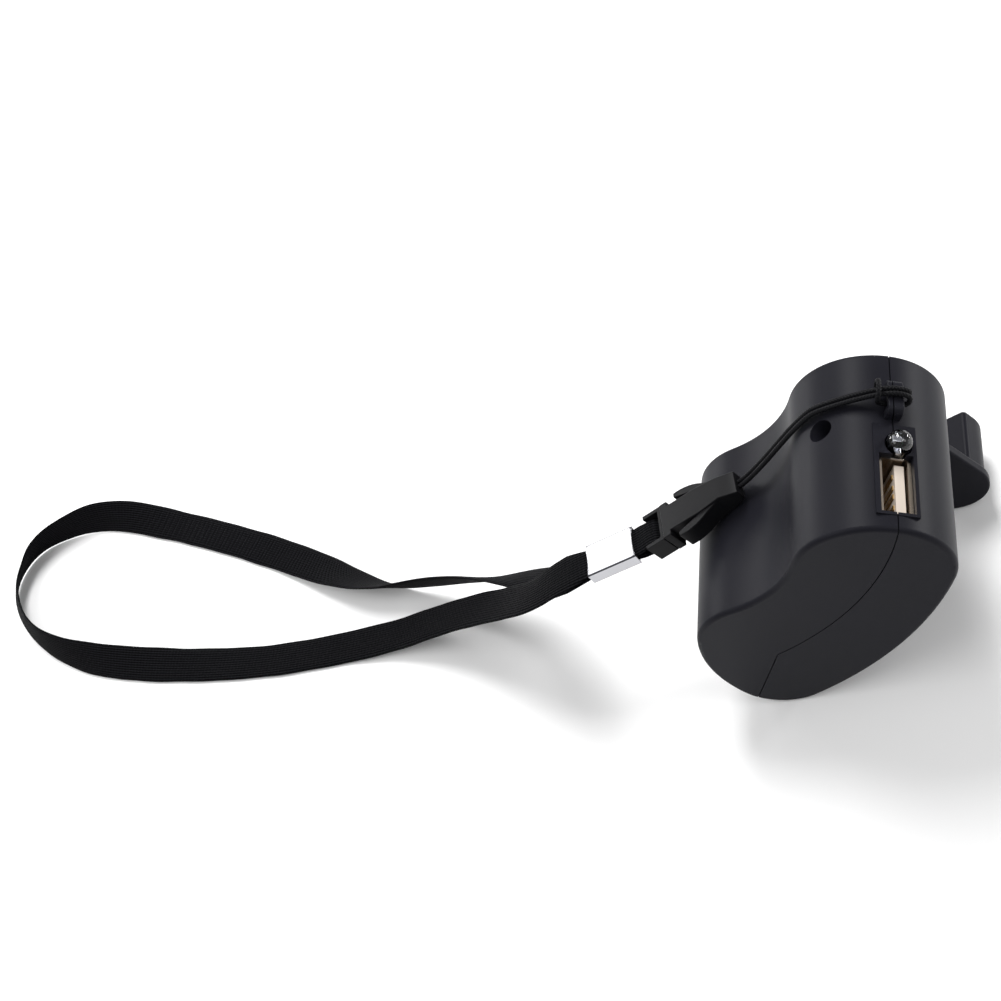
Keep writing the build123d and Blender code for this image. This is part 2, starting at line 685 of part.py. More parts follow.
SECOND_WHEEL_Y = (FIRST_WHEEL_Y[0] - GEAR_GAP - WHEEL_T, FIRST_WHEEL_Y[0] - GEAR_GAP)
CARRIER_TOP = CARRIER_Y + PLATE_T
BUSH_R = CRANK_SHAFT_R + RUNNING + BUSH_WALL
SPIN_GAP = 0.1                  # end play beside each turning hub


def shaft_profile():
    return d_section(CRANK_SHAFT_R, SHAFT_FLAT)


def crank_gear():
    face = gear_face(CRANK_AXIS, CRANK_TEETH, MESH_1) - shaft_profile()
    for number in range(LIGHTENING):
        spot = polar(CRANK_AXIS, LIGHTENING_CIRCLE_R, number * 360 / LIGHTENING)
        face -= Pos(*spot) * Circle(LIGHTENING_R)
    return slab(face, *CRANK_GEAR_Y)


def compound_gear(centre, wheel_teeth, wheel_at, wheel_y, pinion_teeth, pinion_at, pinion_top):
    """A wheel and a smaller pinion moulded as one piece, on a hub that runs on its axle."""
    bore = Pos(*centre) * Circle(AXLE_R + RUNNING)
    gear = slab(gear_face(centre, wheel_teeth, wheel_at) - bore, *wheel_y)
    gear += slab(gear_face(centre, pinion_teeth, pinion_at) - bore, wheel_y[1], pinion_top)
    return gear + slab(Pos(*centre) * Circle(HUB_R) - bore, CARRIER_TOP + SPIN_GAP, wheel_y[0])


def first_compound_gear():
    return compound_gear(
        FIRST_AXIS, FIRST_WHEEL_TEETH, MESH_2, FIRST_WHEEL_Y,
        FIRST_PINION_TEETH, facing_gap(MESH_1, FIRST_PINION_TEETH), CRANK_GEAR_Y[1],
    )


def second_compound_gear():
    return compound_gear(
        SECOND_AXIS, SECOND_WHEEL_TEETH, MESH_3, SECOND_WHEEL_Y,
        SECOND_PINION_TEETH, facing_gap(MESH_2, SECOND_PINION_TEETH), FIRST_WHEEL_Y[1],
    )


def gear_axle(centre):
    return rod(centre, AXLE_R, CARRIER_Y, COVER_Y + PLATE_T)


def plate_outline():
    ears = [Pos(*post) * Circle(PLATE_EAR_R) for post in PLATE_POSTS]
    rounds = [Circle(PLATE_HUB_R)] + ears
    return make_hull([edge for part in rounds for edge in part.edges()])


def plate_blank(low):
    sketch = plate_outline()
    for post in PLATE_POSTS:
        sketch -= Pos(*post) * Circle(RIVET_R)
    for axis in (FIRST_AXIS, SECOND_AXIS):
        sketch -= Pos(*axis) * Circle(AXLE_R)
    sketch -= Circle(BUSH_R)
    return slab(sketch, low, low + PLATE_T)


def gear_carrier_plate():
    return plate_blank(CARRIER_Y) - rod(GENERATOR, NOSE_R, 0, CASE_DEPTH) - generator_screws()


def gear_cover_plate():
    return plate_blank(COVER_Y)


def plate_posts():
    """Three riveted posts that hold the two gear plates apart."""
    posts = []
    for spot in PLATE_POSTS:
        post = rod(spot, PLATE_POST_R, CARRIER_TOP, COVER_Y)
        posts.append(post + rod(spot, RIVET_R, CARRIER_Y, COVER_Y + PLATE_T))
    return posts


def crank_shaft():
    keyed = shaft_profile()
    shaft = rod(CRANK_AXIS, CRANK_SHAFT_R, CARRIER_Y, CRANK_GEAR_Y[0])
    shaft += slab(keyed, *CRANK_GEAR_Y)
    shaft += rod(CRANK_AXIS, CRANK_SHAFT_R, CRANK_GEAR_Y[1], HUB_LOW)
    shaft += slab(keyed, HUB_LOW, ARM_HIGH - SHAFT_STAND)
    screw_low = ARM_HIGH - CRANK_SCREW_LENGTH
    return shaft - rod(CRANK_AXIS, CRANK_SCREW_R, screw_low, CASE_DEPTH + FAR)


def shaft_bush(low, high):
    return tube(CRANK_AXIS, BUSH_R, CRANK_SHAFT_R + RUNNING, low, high)


# ---------------------------------------------------------------- generator
CAN_LOW = CARRIER_Y - CAN_LENGTH
CAP_LOW = CAN_LOW - END_CAP_T
ARMATURE_Y = (CARRIER_Y - ARMATURE_DROP - ARMATURE_LENGTH, CARRIER_Y - ARMATURE_DROP)
COMMUTATOR_TOP = ARMATURE_Y[0] - COMMUTATOR_GAP
COMMUTATOR_Y = (COMMUTATOR_TOP - COMMUTATOR_LENGTH, COMMUTATOR_TOP)
SEAT_R = ROTOR_SHAFT_R + RUNNING


def generator_screws():
    """Two screws that hold the generator under the carrier plate, heads flush."""
    screws = []
    for turn in (0, 180):
        spot = polar(GENERATOR, CAN_SCREW_CIRCLE_R, turn)
        head_low = CARRIER_TOP - CAN_SCREW_HEAD_H
        screw = rod(spot, CAN_SCREW_R, CARRIER_Y - CAN_T, head_low)
        screws.append(screw + rod(spot, CAN_SCREW_HEAD_R, head_low, CARRIER_TOP))
    return screws


def generator_can():
    can = rod(GENERATOR, CAN_R, CAN_LOW, CARRIER_Y)
    can -= rod(GENERATOR, CAN_R - CAN_T, CAN_LOW, CARRIER_Y - CAN_T)
    nose = rod(GENERATOR, NOSE_R, CARRIER_Y - CAN_T, CARRIER_TOP)
    return (can + nose) - rod(GENERATOR, SEAT_R, 0, CASE_DEPTH) - generator_screws()


def generator_end_cap():
    cap = rod(GENERATOR, CAN_R, CAP_LOW, CAN_LOW)
    cap += rod(GENERATOR, NOSE_R, CAP_LOW - END_CAP_T, CAP_LOW)
    return cap - rod(GENERATOR, SEAT_R, 0, CASE_DEPTH) - generator_terminals() - generator_brushes()


def sector(outer, inner, middle, sweep):
    """Part of a ring round the generator's axis."""
    low, high = middle - sweep / 2, middle + sweep / 2
    return make_face([
        round_arc(GENERATOR, outer, low, high),
        Line(polar(GENERATOR, outer, high), polar(GENERATOR, inner, high)),
        round_arc(GENERATOR, inner, high, low, -1),
        Line(polar(GENERATOR, inner, low), polar(GENERATOR, outer, low)),
    ])


def generator_magnets():
    low = CARRIER_Y - CAN_T - MAGNET_LENGTH
    inner, outer = MAGNET_R
    return [
        slab(sector(outer, inner, turn, MAGNET_SWEEP), low, low + MAGNET_LENGTH)
        for turn in (90, 270)
    ]


def pole_turns():
    return [90 + number * 360 / ARMATURE_POLES for number in range(ARMATURE_POLES)]


def radial_bar(turn, inner, outer, width):
    bar = Pos((inner + outer) / 2, 0) * Rectangle(outer - inner, width)
    return Pos(*GENERATOR) * Rot(0, 0, turn) * bar


def armature_core():
    """Laminated iron core with three T-shaped poles."""
    shoe_inner = ARMATURE_R - ARMATURE_SHOE
    core = Pos(*GENERATOR) * Circle(ARMATURE_HUB_R)
    for turn in pole_turns():
        core += radial_bar(turn, 0, shoe_inner + ARMATURE_SHOE / 2, ARMATURE_NECK)
        core += sector(ARMATURE_R, shoe_inner, turn, SHOE_SWEEP)
    core -= Pos(*GENERATOR) * Circle(ROTOR_SHAFT_R)
    return slab(core, *ARMATURE_Y)


def armature_windings():
    """One coil of copper wire round the neck of each pole."""
    inner = ARMATURE_HUB_R + WINDING_T
    outer = ARMATURE_R - ARMATURE_SHOE
    low, high = ARMATURE_Y[0] - WINDING_T, ARMATURE_Y[1] + WINDING_T
    coils = []
    for turn in pole_turns():
        wide = radial_bar(turn, inner, outer, ARMATURE_NECK + 2 * WINDING_T)
        neck = radial_bar(turn, inner, outer, ARMATURE_NECK)
        rim = Pos(*GENERATOR) * Circle(outer)
        coils.append(slab(wide & rim, low, high) - slab(neck, *ARMATURE_Y))
    return coils


def rotor_ring(outer, low, high):
    return tube(GENERATOR, outer, ROTOR_SHAFT_R, low, high)


def rotor_pinion():
    face = gear_face(GENERATOR, ROTOR_TEETH, facing_gap(MESH_3, ROTOR_TEETH))
    face -= Pos(*GENERATOR) * Circle(ROTOR_SHAFT_R)
    low = SECOND_WHEEL_Y[0] - SPIN_GAP
    return slab(face, low, low + ROTOR_PINION_T)


def rotor_shaft():
    high = SECOND_WHEEL_Y[0] - SPIN_GAP + ROTOR_PINION_T
    return rod(GENERATOR, ROTOR_SHAFT_R, CAP_LOW - END_CAP_T, high)


def generator_brushes():
    """Two leaf brushes beside the commutator, rooted in the end cap."""
    leaves = []
    for side in (-1, 1):
        inner = COMMUTATOR_R + BRUSH_GAP
        middle = GENERATOR[1] + side * (inner + BRUSH_T / 2)
        low, high = GENERATOR[0] + BRUSH_X[0], GENERATOR[0] + BRUSH_X[1]
        leaf = Pos((low + high) / 2, middle) * Rectangle(high - low, BRUSH_T)
        foot = Pos(high - BRUSH_T / 2, middle) * Rectangle(BRUSH_T, BRUSH_T)
        leaf_low = COMMUTATOR_Y[0] + BRUSH_T
        leaf_high = leaf_low + BRUSH_W
        leaves.append(slab(leaf, leaf_low, leaf_high) + slab(foot, CAP_LOW, leaf_high))
    return leaves


def generator_terminals():
    """Two solder tabs that stand out of the end cap."""
    tabs = []
    for side in (-1, 1):
        at = (GENERATOR[0] + TERMINAL_AT, GENERATOR[1] + side * TERMINAL_HALF_PITCH)
        tabs.append(slab(Pos(*at) * Rectangle(TERMINAL[1], TERMINAL[0]),
                         CAP_LOW - TERMINAL[2], CAN_LOW))
    return tabs


def generator_lead(side):
    """A lead wire from one terminal to the inner end of the circuit board."""
    foot_x = GENERATOR[0] + TERMINAL_AT + TERMINAL[1] / 2
    foot_z = GENERATOR[1] + side * TERMINAL_HALF_PITCH
    depth = CAP_LOW - TERMINAL[2] / 2
    end_depth = depth + side * LEAD_WIRE_HALF_PITCH - LEAD_WIRE_SHIFT
    board_middle = (BOARD_TOP + BOARD_BOTTOM) / 2
    end = point_of(PORT.location, end_depth, board_middle, -BOARD_INNER[1])
    near = point_of(PORT.location, end_depth, board_middle, -BOARD_INNER[1] - LEAD_WIRE_OUT)
    start = Vector(foot_x, depth, foot_z)
    bend = start + Vector(LEAD_WIRE_OUT, 0, 0)
    path = FilletPolyline(start, bend, near, end, radius=LEAD_WIRE_BEND_R)
    return sweep(Plane(origin=path @ 0, z_dir=path % 0) * Circle(LEAD_WIRE_R), path)


# ---------------------------------------------------------------- crank
HUB_LOW = CASE_DEPTH + BUSH_STAND_OUT + HUB_BOSS_GAP
ARM_LOW = CASE_DEPTH + CRANK_LIFT
ARM_HIGH = ARM_LOW + ARM_T
ARM_TURN = bearing(CRANK_AXIS, CRANK_TIP)


def crank_arm():
    rounds = Circle(ARM_HUB_R).edges() + (Pos(*CRANK_TIP) * Circle(ARM_TIP_R)).edges()
    arm = slab(make_hull(rounds), ARM_LOW, ARM_HIGH)
    arm = fillet(arm.faces().filter_by(Axis.Y).edges(), ARM_ROUND)
    arm += rod(CRANK_AXIS, HUB_BOSS_R, HUB_LOW, ARM_LOW)
    arm -= slab(shaft_profile(), HUB_LOW, ARM_HIGH - SHAFT_STAND)
    arm -= rod(CRANK_AXIS, CRANK_SCREW_R, ARM_LOW, ARM_HIGH + PAST)
    return arm - rod(CRANK_TIP, GRIP_PIN_R, ARM_LOW + GRIP_PIN_COVER, ARM_HIGH + PAST)


def crank_screw():
    head_r, head_h = CRANK_SCREW_HEAD
    screw = rod(CRANK_AXIS, CRANK_SCREW_R, ARM_HIGH - CRANK_SCREW_LENGTH, ARM_HIGH)
    head = rod(CRANK_AXIS, head_r, ARM_HIGH, ARM_HIGH + head_h)
    head = fillet(head.faces().sort_by(Axis.Y)[-1].edges(), head_h / 2)
    screw += head
    for turn in (0, 90):
        slot = Pos(0, ARM_HIGH + head_h, 0) * Rot(0, turn, 0) * Box(head_r, head_h, DRIVE_SLOT)
        screw -= slot
    return screw


GRIP_LOW = ARM_HIGH + GRIP_GAP
GRIP_HIGH = GRIP_LOW + GRIP_HEIGHT


def crank_grip():
    """D-shaped finger grip: flat towards the hub, round outside, turning on its pin."""
    square = Pos(-GRIP_FLAT / 2, 0) * Rectangle(GRIP_FLAT, 2 * GRIP_R)
    outline = Circle(GRIP_R) - Pos(-GRIP_R, 0) * Rectangle(2 * GRIP_R, 4 * GRIP_R)
    outline = outline + square
    corners = outline.vertices().group_by(Axis.X)[0]
    outline = fillet(corners, GRIP_CORNER)
    outline = Pos(*CRANK_TIP) * Rot(0, 0, ARM_TURN) * outline
    grip = slab(outline, GRIP_LOW, GRIP_HIGH)
    grip = fillet(grip.faces().sort_by(Axis.Y)[-1].edges(), GRIP_TOP_ROUND)
    grip -= rod(CRANK_TIP, GRIP_PIN_R + RUNNING, GRIP_LOW, GRIP_HIGH)
    return grip - rod(CRANK_TIP, GRIP_RECESS[0], GRIP_HIGH - GRIP_RECESS[1], GRIP_HIGH)


def grip_pin():
    head_r, head_h = GRIP_PIN_HEAD
    head_low = GRIP_HIGH - GRIP_RECESS[1] + SPIN_GAP
    pin = rod(CRANK_TIP, GRIP_PIN_R, ARM_LOW + GRIP_PIN_COVER, head_low)
    head = rod(CRANK_TIP, head_r, head_low, head_low + head_h)
    return pin + fillet(head.faces().sort_by(Axis.Y)[-1].edges(), head_h / 2)


# ---------------------------------------------------------------- resting place
def rest_frame():
    """Tilt of the case frame, and the point of the toe that touches the surface."""
    reach = math.dist(TOE, CRANK_TIP)
    turn = math.degrees(math.acos((ARM_TIP_R - TOE_R) / reach))
    up = bearing(TOE, CRANK_TIP) + turn
    return 90 - up, polar(TOE, TOE_R, up + 180)


TILT, TOUCH = rest_frame()


def on_surface():
    """From the case frame to the surface that the charger rests on."""
    return Rot(0, -TILT, 0) * Pos(-TOUCH[0], 0, -TOUCH[1])


# ---------------------------------------------------------------- lanyard cord
BUCKLE = (
    Pos(*BUCKLE_AT) * Rot(0, 0, BUCKLE_HEADING) * Rot(0, -BUCKLE_RISE, 0) * Rot(BUCKLE_ROLL, 0, 0)
)
CRIMP = BUCKLE * Pos(PLUG_BAR_X, 0, 0) * Rot(0, CRIMP_PITCH, 0)


def point_of(frame, *local):
    return (frame * Pos(*local)).position


def at_port(depth, across, out):
    return point_of(on_surface() * PORT.location, depth, across, out)


def cord_leg(side, depth):
    """Corners of one leg, from the socket to the far side of the lug's bar."""
    offset = side * CORD_PITCH / 2
    corners = [point_of(BUCKLE, TAIL_X, offset, 0), point_of(BUCKLE, TAIL_X + CORD_LEAD, offset, 0)]
    for angle, distance in CORD_ROUND_LOBE:
        spot = polar(USB_LOBE, distance, angle)
        corners.append(point_of(on_surface(), spot[0], depth, spot[1]))
    return corners + [at_port(depth, *CORD_AFTER_BAR)]


def cord_route():
    hitch = [at_port(*spot) for spot in CORD_HITCH]
    return cord_leg(1, CORD_LEG_Y[0]) + hitch + cord_leg(-1, CORD_LEG_Y[1])[::-1]


def arc_radii(points):
    """The largest arc at each corner that its two runs leave room for."""
    radii = []
    for before, here, after in zip(points, points[1:], points[2:]):
        run_in, run_out = here - before, after - here
        half_turn = math.radians(run_in.get_angle(run_out)) / 2
        radii.append(CORD_FILLET * min(run_in.length, run_out.length) / math.tan(half_turn))
    return radii


def lanyard_cord():
    route = cord_route()
    radii = arc_radii(route)
    path = FilletPolyline(*route, radius=radii)
    cord = sweep(Plane(origin=path @ 0, z_dir=path % 0) * Circle(CORD_D / 2), path)
    expected = math.pi * CORD_D ** 2 / 4 * path.length
    print("cord length", round(path.length, 2), "volume share", round(cord.volume / expected, 4))
    print("cord radii", [round(radius, 2) for radius in radii])
    return cord


# ---------------------------------------------------------------- release buckle
def buckle_box(x, half_y, half_z):
    return Pos((x[0] + x[1]) / 2, 0, 0) * Box(x[1] - x[0], 2 * half_y, 2 * half_z)


def socket_lever(side):
    """Squeeze lever that springs from the tail and runs free beside the spine."""
    root = (LEVER_ROOT_X, side * (SPINE_HALF_WIDTH - BUCKLE_EDGE))
    inner = (LEVER_END_X, side * LEVER_INNER)
    outer = (LEVER_END_X, side * LEVER_OUTER)
    bulge = (LEVER_BULGE[0], side * LEVER_BULGE[1])
    shoulder = (LEVER_SHOULDER[0], side * LEVER_SHOULDER[1])
    ridge = (RIDGE_X, side * (RIDGE_HALF_WIDTH - BUCKLE_EDGE))
    face = make_face([
        Line(ridge, root), Line(root, inner), Line(inner, outer),
        ThreePointArc(outer, bulge, shoulder), Line(shoulder, ridge),
    ])
    return Pos(0, 0, -LEVER_THICKNESS / 2) * extrude(face, amount=LEVER_THICKNESS)


def release_socket():
    """Half of the buckle on the cord: a hollow spine with a lever on each side."""
    half_t = SOCKET_THICKNESS / 2
    tail = make_face(Polyline(
        (LEVER_ROOT_X, -SPINE_HALF_WIDTH), (RIDGE_X, -RIDGE_HALF_WIDTH), (TAIL_X, -TAIL_HALF_WIDTH),
        (TAIL_X, TAIL_HALF_WIDTH), (RIDGE_X, RIDGE_HALF_WIDTH), (LEVER_ROOT_X, SPINE_HALF_WIDTH),
        close=True,
    ))
    body = Pos(0, 0, -half_t) * extrude(tail, amount=SOCKET_THICKNESS)
    body += buckle_box((0, LEVER_ROOT_X), SPINE_HALF_WIDTH, half_t)
    body += buckle_box((0, SOCKET_HEAD[0]), SOCKET_HEAD[1], half_t)
    body += socket_lever(1)
    body += socket_lever(-1)
    slope = make_face(Polyline(
        (0, -half_t), (RIDGE_X, -half_t), (TAIL_X, -TAIL_THICKNESS / 2),
        (TAIL_X, TAIL_THICKNESS / 2), (RIDGE_X, half_t), (0, half_t), close=True,
    ))
    body &= extrude(Plane.XZ * slope, amount=LEVER_OUTER + PAST, both=True)
    length, half_w, half_h = TONGUE
    cavity = buckle_box((-PAST, length + TONGUE_GAP), half_w + TONGUE_GAP, half_h + TONGUE_GAP)
    return BUCKLE * (body - cavity)


def release_plug():
    """Half of the buckle on the webbing: a tongue, a flange and a frame with a round bar."""
    half_t = PLUG_THICKNESS / 2
    length, half_w, half_h = TONGUE
    frame = buckle_box((-PLUG_LENGTH, -TONGUE_GAP), PLUG_HALF_WIDTH, half_t)
    frame -= buckle_box((-PLUG_LENGTH - PAST, -PLUG_FLANGE - TONGUE_GAP),
                        PLUG_HALF_WIDTH - PLUG_SIDE, half_t)
    bar = Pos(PLUG_BAR_X, 0, 0) * Rot(90, 0, 0)
    frame += bar * Cylinder(PLUG_BAR_R, 2 * PLUG_HALF_WIDTH - PLUG_SIDE)
    tongue = buckle_box((-TONGUE_GAP, length), half_w, half_h)
    nose = tongue.faces().sort_by(Axis.X)[-1].edges()
    return BUCKLE * (frame + chamfer(nose, TONGUE_NOSE))


# ---------------------------------------------------------------- webbing
def strap_crimp():
    width, thickness = CRIMP_SIZE
    low, high = CRIMP_X
    tube_box = buckle_box((low, high), width / 2, thickness / 2)
    tube_box = fillet(tube_box.edges().filter_by(Axis.X), CRIMP_ROUND)
    bore = buckle_box((low - PAST, high + PAST), width / 2 - CRIMP_WALL, thickness / 2 - CRIMP_WALL)
    return CRIMP * (tube_box - bore)


def fold_half(bar_side, layer_side):
    """Side view of what lies within one face of the folded webbing."""
    low, high = CRIMP_X[0], CRIMP_X[1] + 2 * WEB_LAYER_GAP
    mouth = Pos(high, 0) * Rectangle(WEB_LAYER_GAP, 2 * layer_side)
    round_bar = make_hull(Circle(bar_side).edges() + mouth.edges())
    return round_bar + Pos((low + high) / 2, 0) * Rectangle(high - low, 2 * layer_side)


def strap_fold():
    """The end of the webbing, doubled round the plug's bar and held in the crimp."""
    inner = PLUG_BAR_R + WEB_BAR_GAP
    slit = WEB_LAYER_GAP / 2
    side_view = fold_half(inner + WEB_T, slit + WEB_T) - fold_half(inner, slit)
    fold = extrude(Plane.XZ * side_view, amount=WEB_PINCHED / 2, both=True)
    plug_reach = buckle_box((CRIMP_X[1] + WEB_T, TONGUE[0]), WEB_IN_PLUG / 2, PLUG_THICKNESS)
    in_crimp = buckle_box((CRIMP_X[0], CRIMP_X[1] + 2 * WEB_T), WEB_PINCHED / 2, PLUG_THICKNESS)
    return CRIMP * (fold & (plug_reach + in_crimp))


def crimp_roll(travel, side):
    """Roll of webbing that leaves the crimp, against lying flat."""
    across = Vector(0, 0, 1).cross(travel).normalized()
    width = (point_of(CRIMP, 0, side, 0) - point_of(CRIMP, 0, 0, 0)).normalized()
    return math.degrees(math.atan2(width.dot(travel.cross(across)), width.dot(across)))


def web_route():
    """Every corner of the webbing's middle line, each with its roll."""
    layer = (WEB_T + WEB_LAYER_GAP) / 2
    low = CRIMP_X[0]
    out = (point_of(CRIMP, -1, 0, 0) - point_of(CRIMP, 0, 0, 0)).normalized()
    leaving = crimp_roll(out, -1)
    returning = crimp_roll(out * -1, -1) - 360
    start = [point_of(CRIMP, low, 0, layer), point_of(CRIMP, low - WEB_LEADS[0], 0, layer)]
    end = [point_of(CRIMP, low - WEB_LEADS[1], 0, -layer), point_of(CRIMP, low, 0, -layer)]
    return (
        [(corner, leaving) for corner in start]
        + [(Vector(x, y, z), roll) for x, y, z, roll in WEB_ROUTE]
        + [(corner, returning) for corner in end]
    )


def web_sections():
    """Cross-section frames along the smooth line that the route's corners steer."""
    route = web_route()
    bends = route[1:-1]
    halfway = [
        ((here + ahead) * 0.5, (roll + roll_ahead) / 2)
        for (here, roll), (ahead, roll_ahead) in zip(bends, bends[1:])
    ]
    starts, ends = [route[0]] + halfway, halfway + [route[-1]]
    frames = [bend_frame(*bend, 0) for bend in zip(starts[:1], bends, ends)]
    for bend in zip(starts, bends, ends):
        frames += [bend_frame(*bend, (step + 1) / WEB_STEPS) for step in range(WEB_STEPS)]
    return frames


def bend_frame(start, corner, end, part):
    """Frame at one share of the bend that is drawn from start to end towards its corner."""
    rest = 1 - part
    shares = (rest ** 2, 2 * rest * part, part ** 2)
    middle = start[0] * shares[0] + corner[0] * shares[1] + end[0] * shares[2]
    roll = start[1] * shares[0] + corner[1] * shares[1] + end[1] * shares[2]
    travel = ((corner[0] - start[0]) * rest + (end[0] - corner[0]) * part).normalized()
    return web_frame(middle, travel, math.radians(roll))


def web_frame(middle, travel, roll):
    """Plane across the webbing, lifted where its lower edge would go below the surface."""
    across = Vector(0, 0, 1).cross(travel).normalized()
    width = across * math.cos(roll) + travel.cross(across) * math.sin(roll)
    face = travel.cross(width)
    reach = WEB_WIDTH / 2 * abs(width.Z) + WEB_T / 2 * abs(face.Z) + WEB_FLOOR_GAP
    lifted = Vector(middle.X, middle.Y, max(middle.Z, reach))
    return Plane(origin=lifted, x_dir=width, z_dir=travel)


def wrist_strap():
    frames = web_sections()
    runs = [(b.origin - a.origin).length for a, b in zip(frames, frames[1:])]
    total = sum(runs)
    done = 0
    faces = []
    for frame, run in zip(frames, runs + [0]):
        spread = min(done, total - done, WEB_SPREAD) / WEB_SPREAD
        width = WEB_PINCHED + (WEB_WIDTH - WEB_PINCHED) * spread
        faces.append(frame * Rectangle(width, WEB_T))
        done += run
    strap = loft(faces, ruled=True)
    print("webbing length", round(total, 2), "volume share",
          round(strap.volume / (total * WEB_WIDTH * WEB_T), 4))
    return strap


def main():
    waist_half, belly_half = casing_shells()
    case_parts = {
        "waist_side_casing": waist_half,
        "belly_side_casing": belly_half,
        "casing_screws": casing_screws(),
        "usb_socket_shell": usb_socket_shell(),
        "usb_socket_block": usb_block(),
        "usb_contacts": usb_contacts(),
        "indicator_lamp": indicator_lamp(),
        "lamp_leads": lamp_leads(),
        "circuit_board": circuit_board(),
        "smoothing_capacitor": smoothing_capacitor(),
        "voltage_regulator": voltage_regulator(),
        "rectifier_diodes": rectifier_diodes(),
        "power_coil": power_coil(),
        "gear_carrier_plate": gear_carrier_plate(),
        "gear_cover_plate": gear_cover_plate(),
        "plate_posts": plate_posts(),
        "first_axle": gear_axle(FIRST_AXIS),
        "second_axle": gear_axle(SECOND_AXIS),
        "front_shaft_bush": shaft_bush(COVER_Y, CASE_DEPTH + BUSH_STAND_OUT),
        "rear_shaft_bush": shaft_bush(CARRIER_Y, CARRIER_TOP),
        "generator_can": generator_can(),
        "generator_end_cap": generator_end_cap(),
        "generator_screws": generator_screws(),
        "generator_magnets": generator_magnets(),
        "generator_brushes": generator_brushes(),
        "generator_terminals": generator_terminals(),
        "generator_lead_red": generator_lead(1),
        "generator_lead_black": generator_lead(-1),
        "armature_core": armature_core(),
        "armature_windings": armature_windings(),
        "commutator": rotor_ring(COMMUTATOR_R, *COMMUTATOR_Y),
        "rotor_shaft": rotor_shaft(),
        "rotor_pinion": rotor_pinion(),
        "first_compound_gear": first_compound_gear(),
        "second_compound_gear": second_compound_gear(),
        "crank_gear": crank_gear(),
        "crank_shaft": crank_shaft(),
        "crank_arm": crank_arm(),
        "crank_screw": crank_screw(),
        "grip_pin": grip_pin(),
        "crank_grip": crank_grip(),
    }
    lanyard_parts = {
        "lanyard_cord": lanyard_cord(),
        "release_socket": release_socket(),
        "release_plug": release_plug(),
        "strap_fold": strap_fold(),
        "strap_crimp": strap_crimp(),
        "wrist_strap": wrist_strap(),
    }
    place = on_surface()
    rigid = {name: as_placed(place, shape) for name, shape in case_parts.items()}
    box = Compound([solid for solids in rigid.values() for solid in solids]).bounding_box()
    centre = box.center()
    shift = Pos(-centre.X, -centre.Y, -box.min.Z)
    soft = {name: as_placed(Pos(0, 0, 0), shape) for name, shape in lanyard_parts.items()}
    os.makedirs("parts", exist_ok=True)
    for name, solids in {**rigid, **soft}.items():
        write_part(name, [shift * solid for solid in solids])
    print_places(shift)


def as_placed(place, shape):
    solids = shape if isinstance(shape, list) else [shape]
    return [place * solid for solid in solids]


def write_part(name, solids):
    node = solids[0] if len(solids) == 1 else Compound(children=solids)
    export_step(node, f"parts/{name}.step")


def print_places(shift):
    """Joint anchors, mount points and directions of the finished charger."""
    case = shift * on_surface()
    marks = {
        "rest": (shift, (0, 0, 0)),
        "hub": (case, (CRANK_AXIS[0], ARM_LOW, CRANK_AXIS[1])),
        "tip": (case, (CRANK_TIP[0], GRIP_LOW, CRANK_TIP[1])),
        "first": (case, (FIRST_AXIS[0], CARRIER_TOP, FIRST_AXIS[1])),
        "second": (case, (SECOND_AXIS[0], CARRIER_TOP, SECOND_AXIS[1])),
        "rotor": (case, (GENERATOR[0], CAN_LOW, GENERATOR[1])),
        "end_face": (case, (0, 0, 0)),
        "heel": (case, (HEEL[0], 0, HEEL[1])),
        "port": (case * PORT.location, (USB_Y, USB_ACROSS, 0)),
        "port_out": (case * PORT.location, (USB_Y, USB_ACROSS, 1)),
        "eye": (case * PORT.location, (sum(LUG_Y) / 2, 0, LUG_RISE - LUG_BAR)),
        "eye_across": (case * PORT.location, (sum(LUG_Y) / 2, 1, LUG_RISE - LUG_BAR)),
        "seam": (shift * BUCKLE, (0, 0, 0)),
        "seam_out": (shift * BUCKLE, (-1, 0, 0)),
    }
    for name, (frame, local) in marks.items():
        spot = point_of(frame, *local)
        print("place", name, round(spot.X, 4), round(spot.Y, 4), round(spot.Z, 4))


main()
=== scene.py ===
# %% [markdown]
# # A hand crank phone charger with a wrist lanyard
# A kidney-shaped casing of matte black plastic lies on a table, on its toe and on the tip of its
# crank.  A thin braided cord ties a release buckle to it, and from the buckle a loop of black
# webbing lies across the table.  The moulded and turned parts come with their true shapes, so this
# lesson gives them their surfaces and makes what is soft, worn or too fine for them.

# %% Load the model and set the millimetre unit
import math
import bpy
import numpy as np
from mathutils import Matrix, Vector


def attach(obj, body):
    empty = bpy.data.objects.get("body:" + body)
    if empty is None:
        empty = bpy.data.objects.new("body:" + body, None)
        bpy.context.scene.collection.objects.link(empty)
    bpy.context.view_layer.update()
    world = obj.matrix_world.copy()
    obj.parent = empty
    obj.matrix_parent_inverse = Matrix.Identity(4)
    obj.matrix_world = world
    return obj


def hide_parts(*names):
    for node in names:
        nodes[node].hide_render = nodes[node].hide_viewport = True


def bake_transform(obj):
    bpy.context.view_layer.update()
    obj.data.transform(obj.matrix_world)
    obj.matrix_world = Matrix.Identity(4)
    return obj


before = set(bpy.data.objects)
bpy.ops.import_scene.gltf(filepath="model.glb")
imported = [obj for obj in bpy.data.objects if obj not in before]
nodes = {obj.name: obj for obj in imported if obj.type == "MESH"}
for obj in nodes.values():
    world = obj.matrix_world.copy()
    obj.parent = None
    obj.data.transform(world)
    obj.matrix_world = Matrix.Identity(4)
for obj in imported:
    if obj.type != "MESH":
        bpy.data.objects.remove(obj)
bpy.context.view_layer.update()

MM = 0.001
bpy.ops.object.select_all(action="DESELECT")

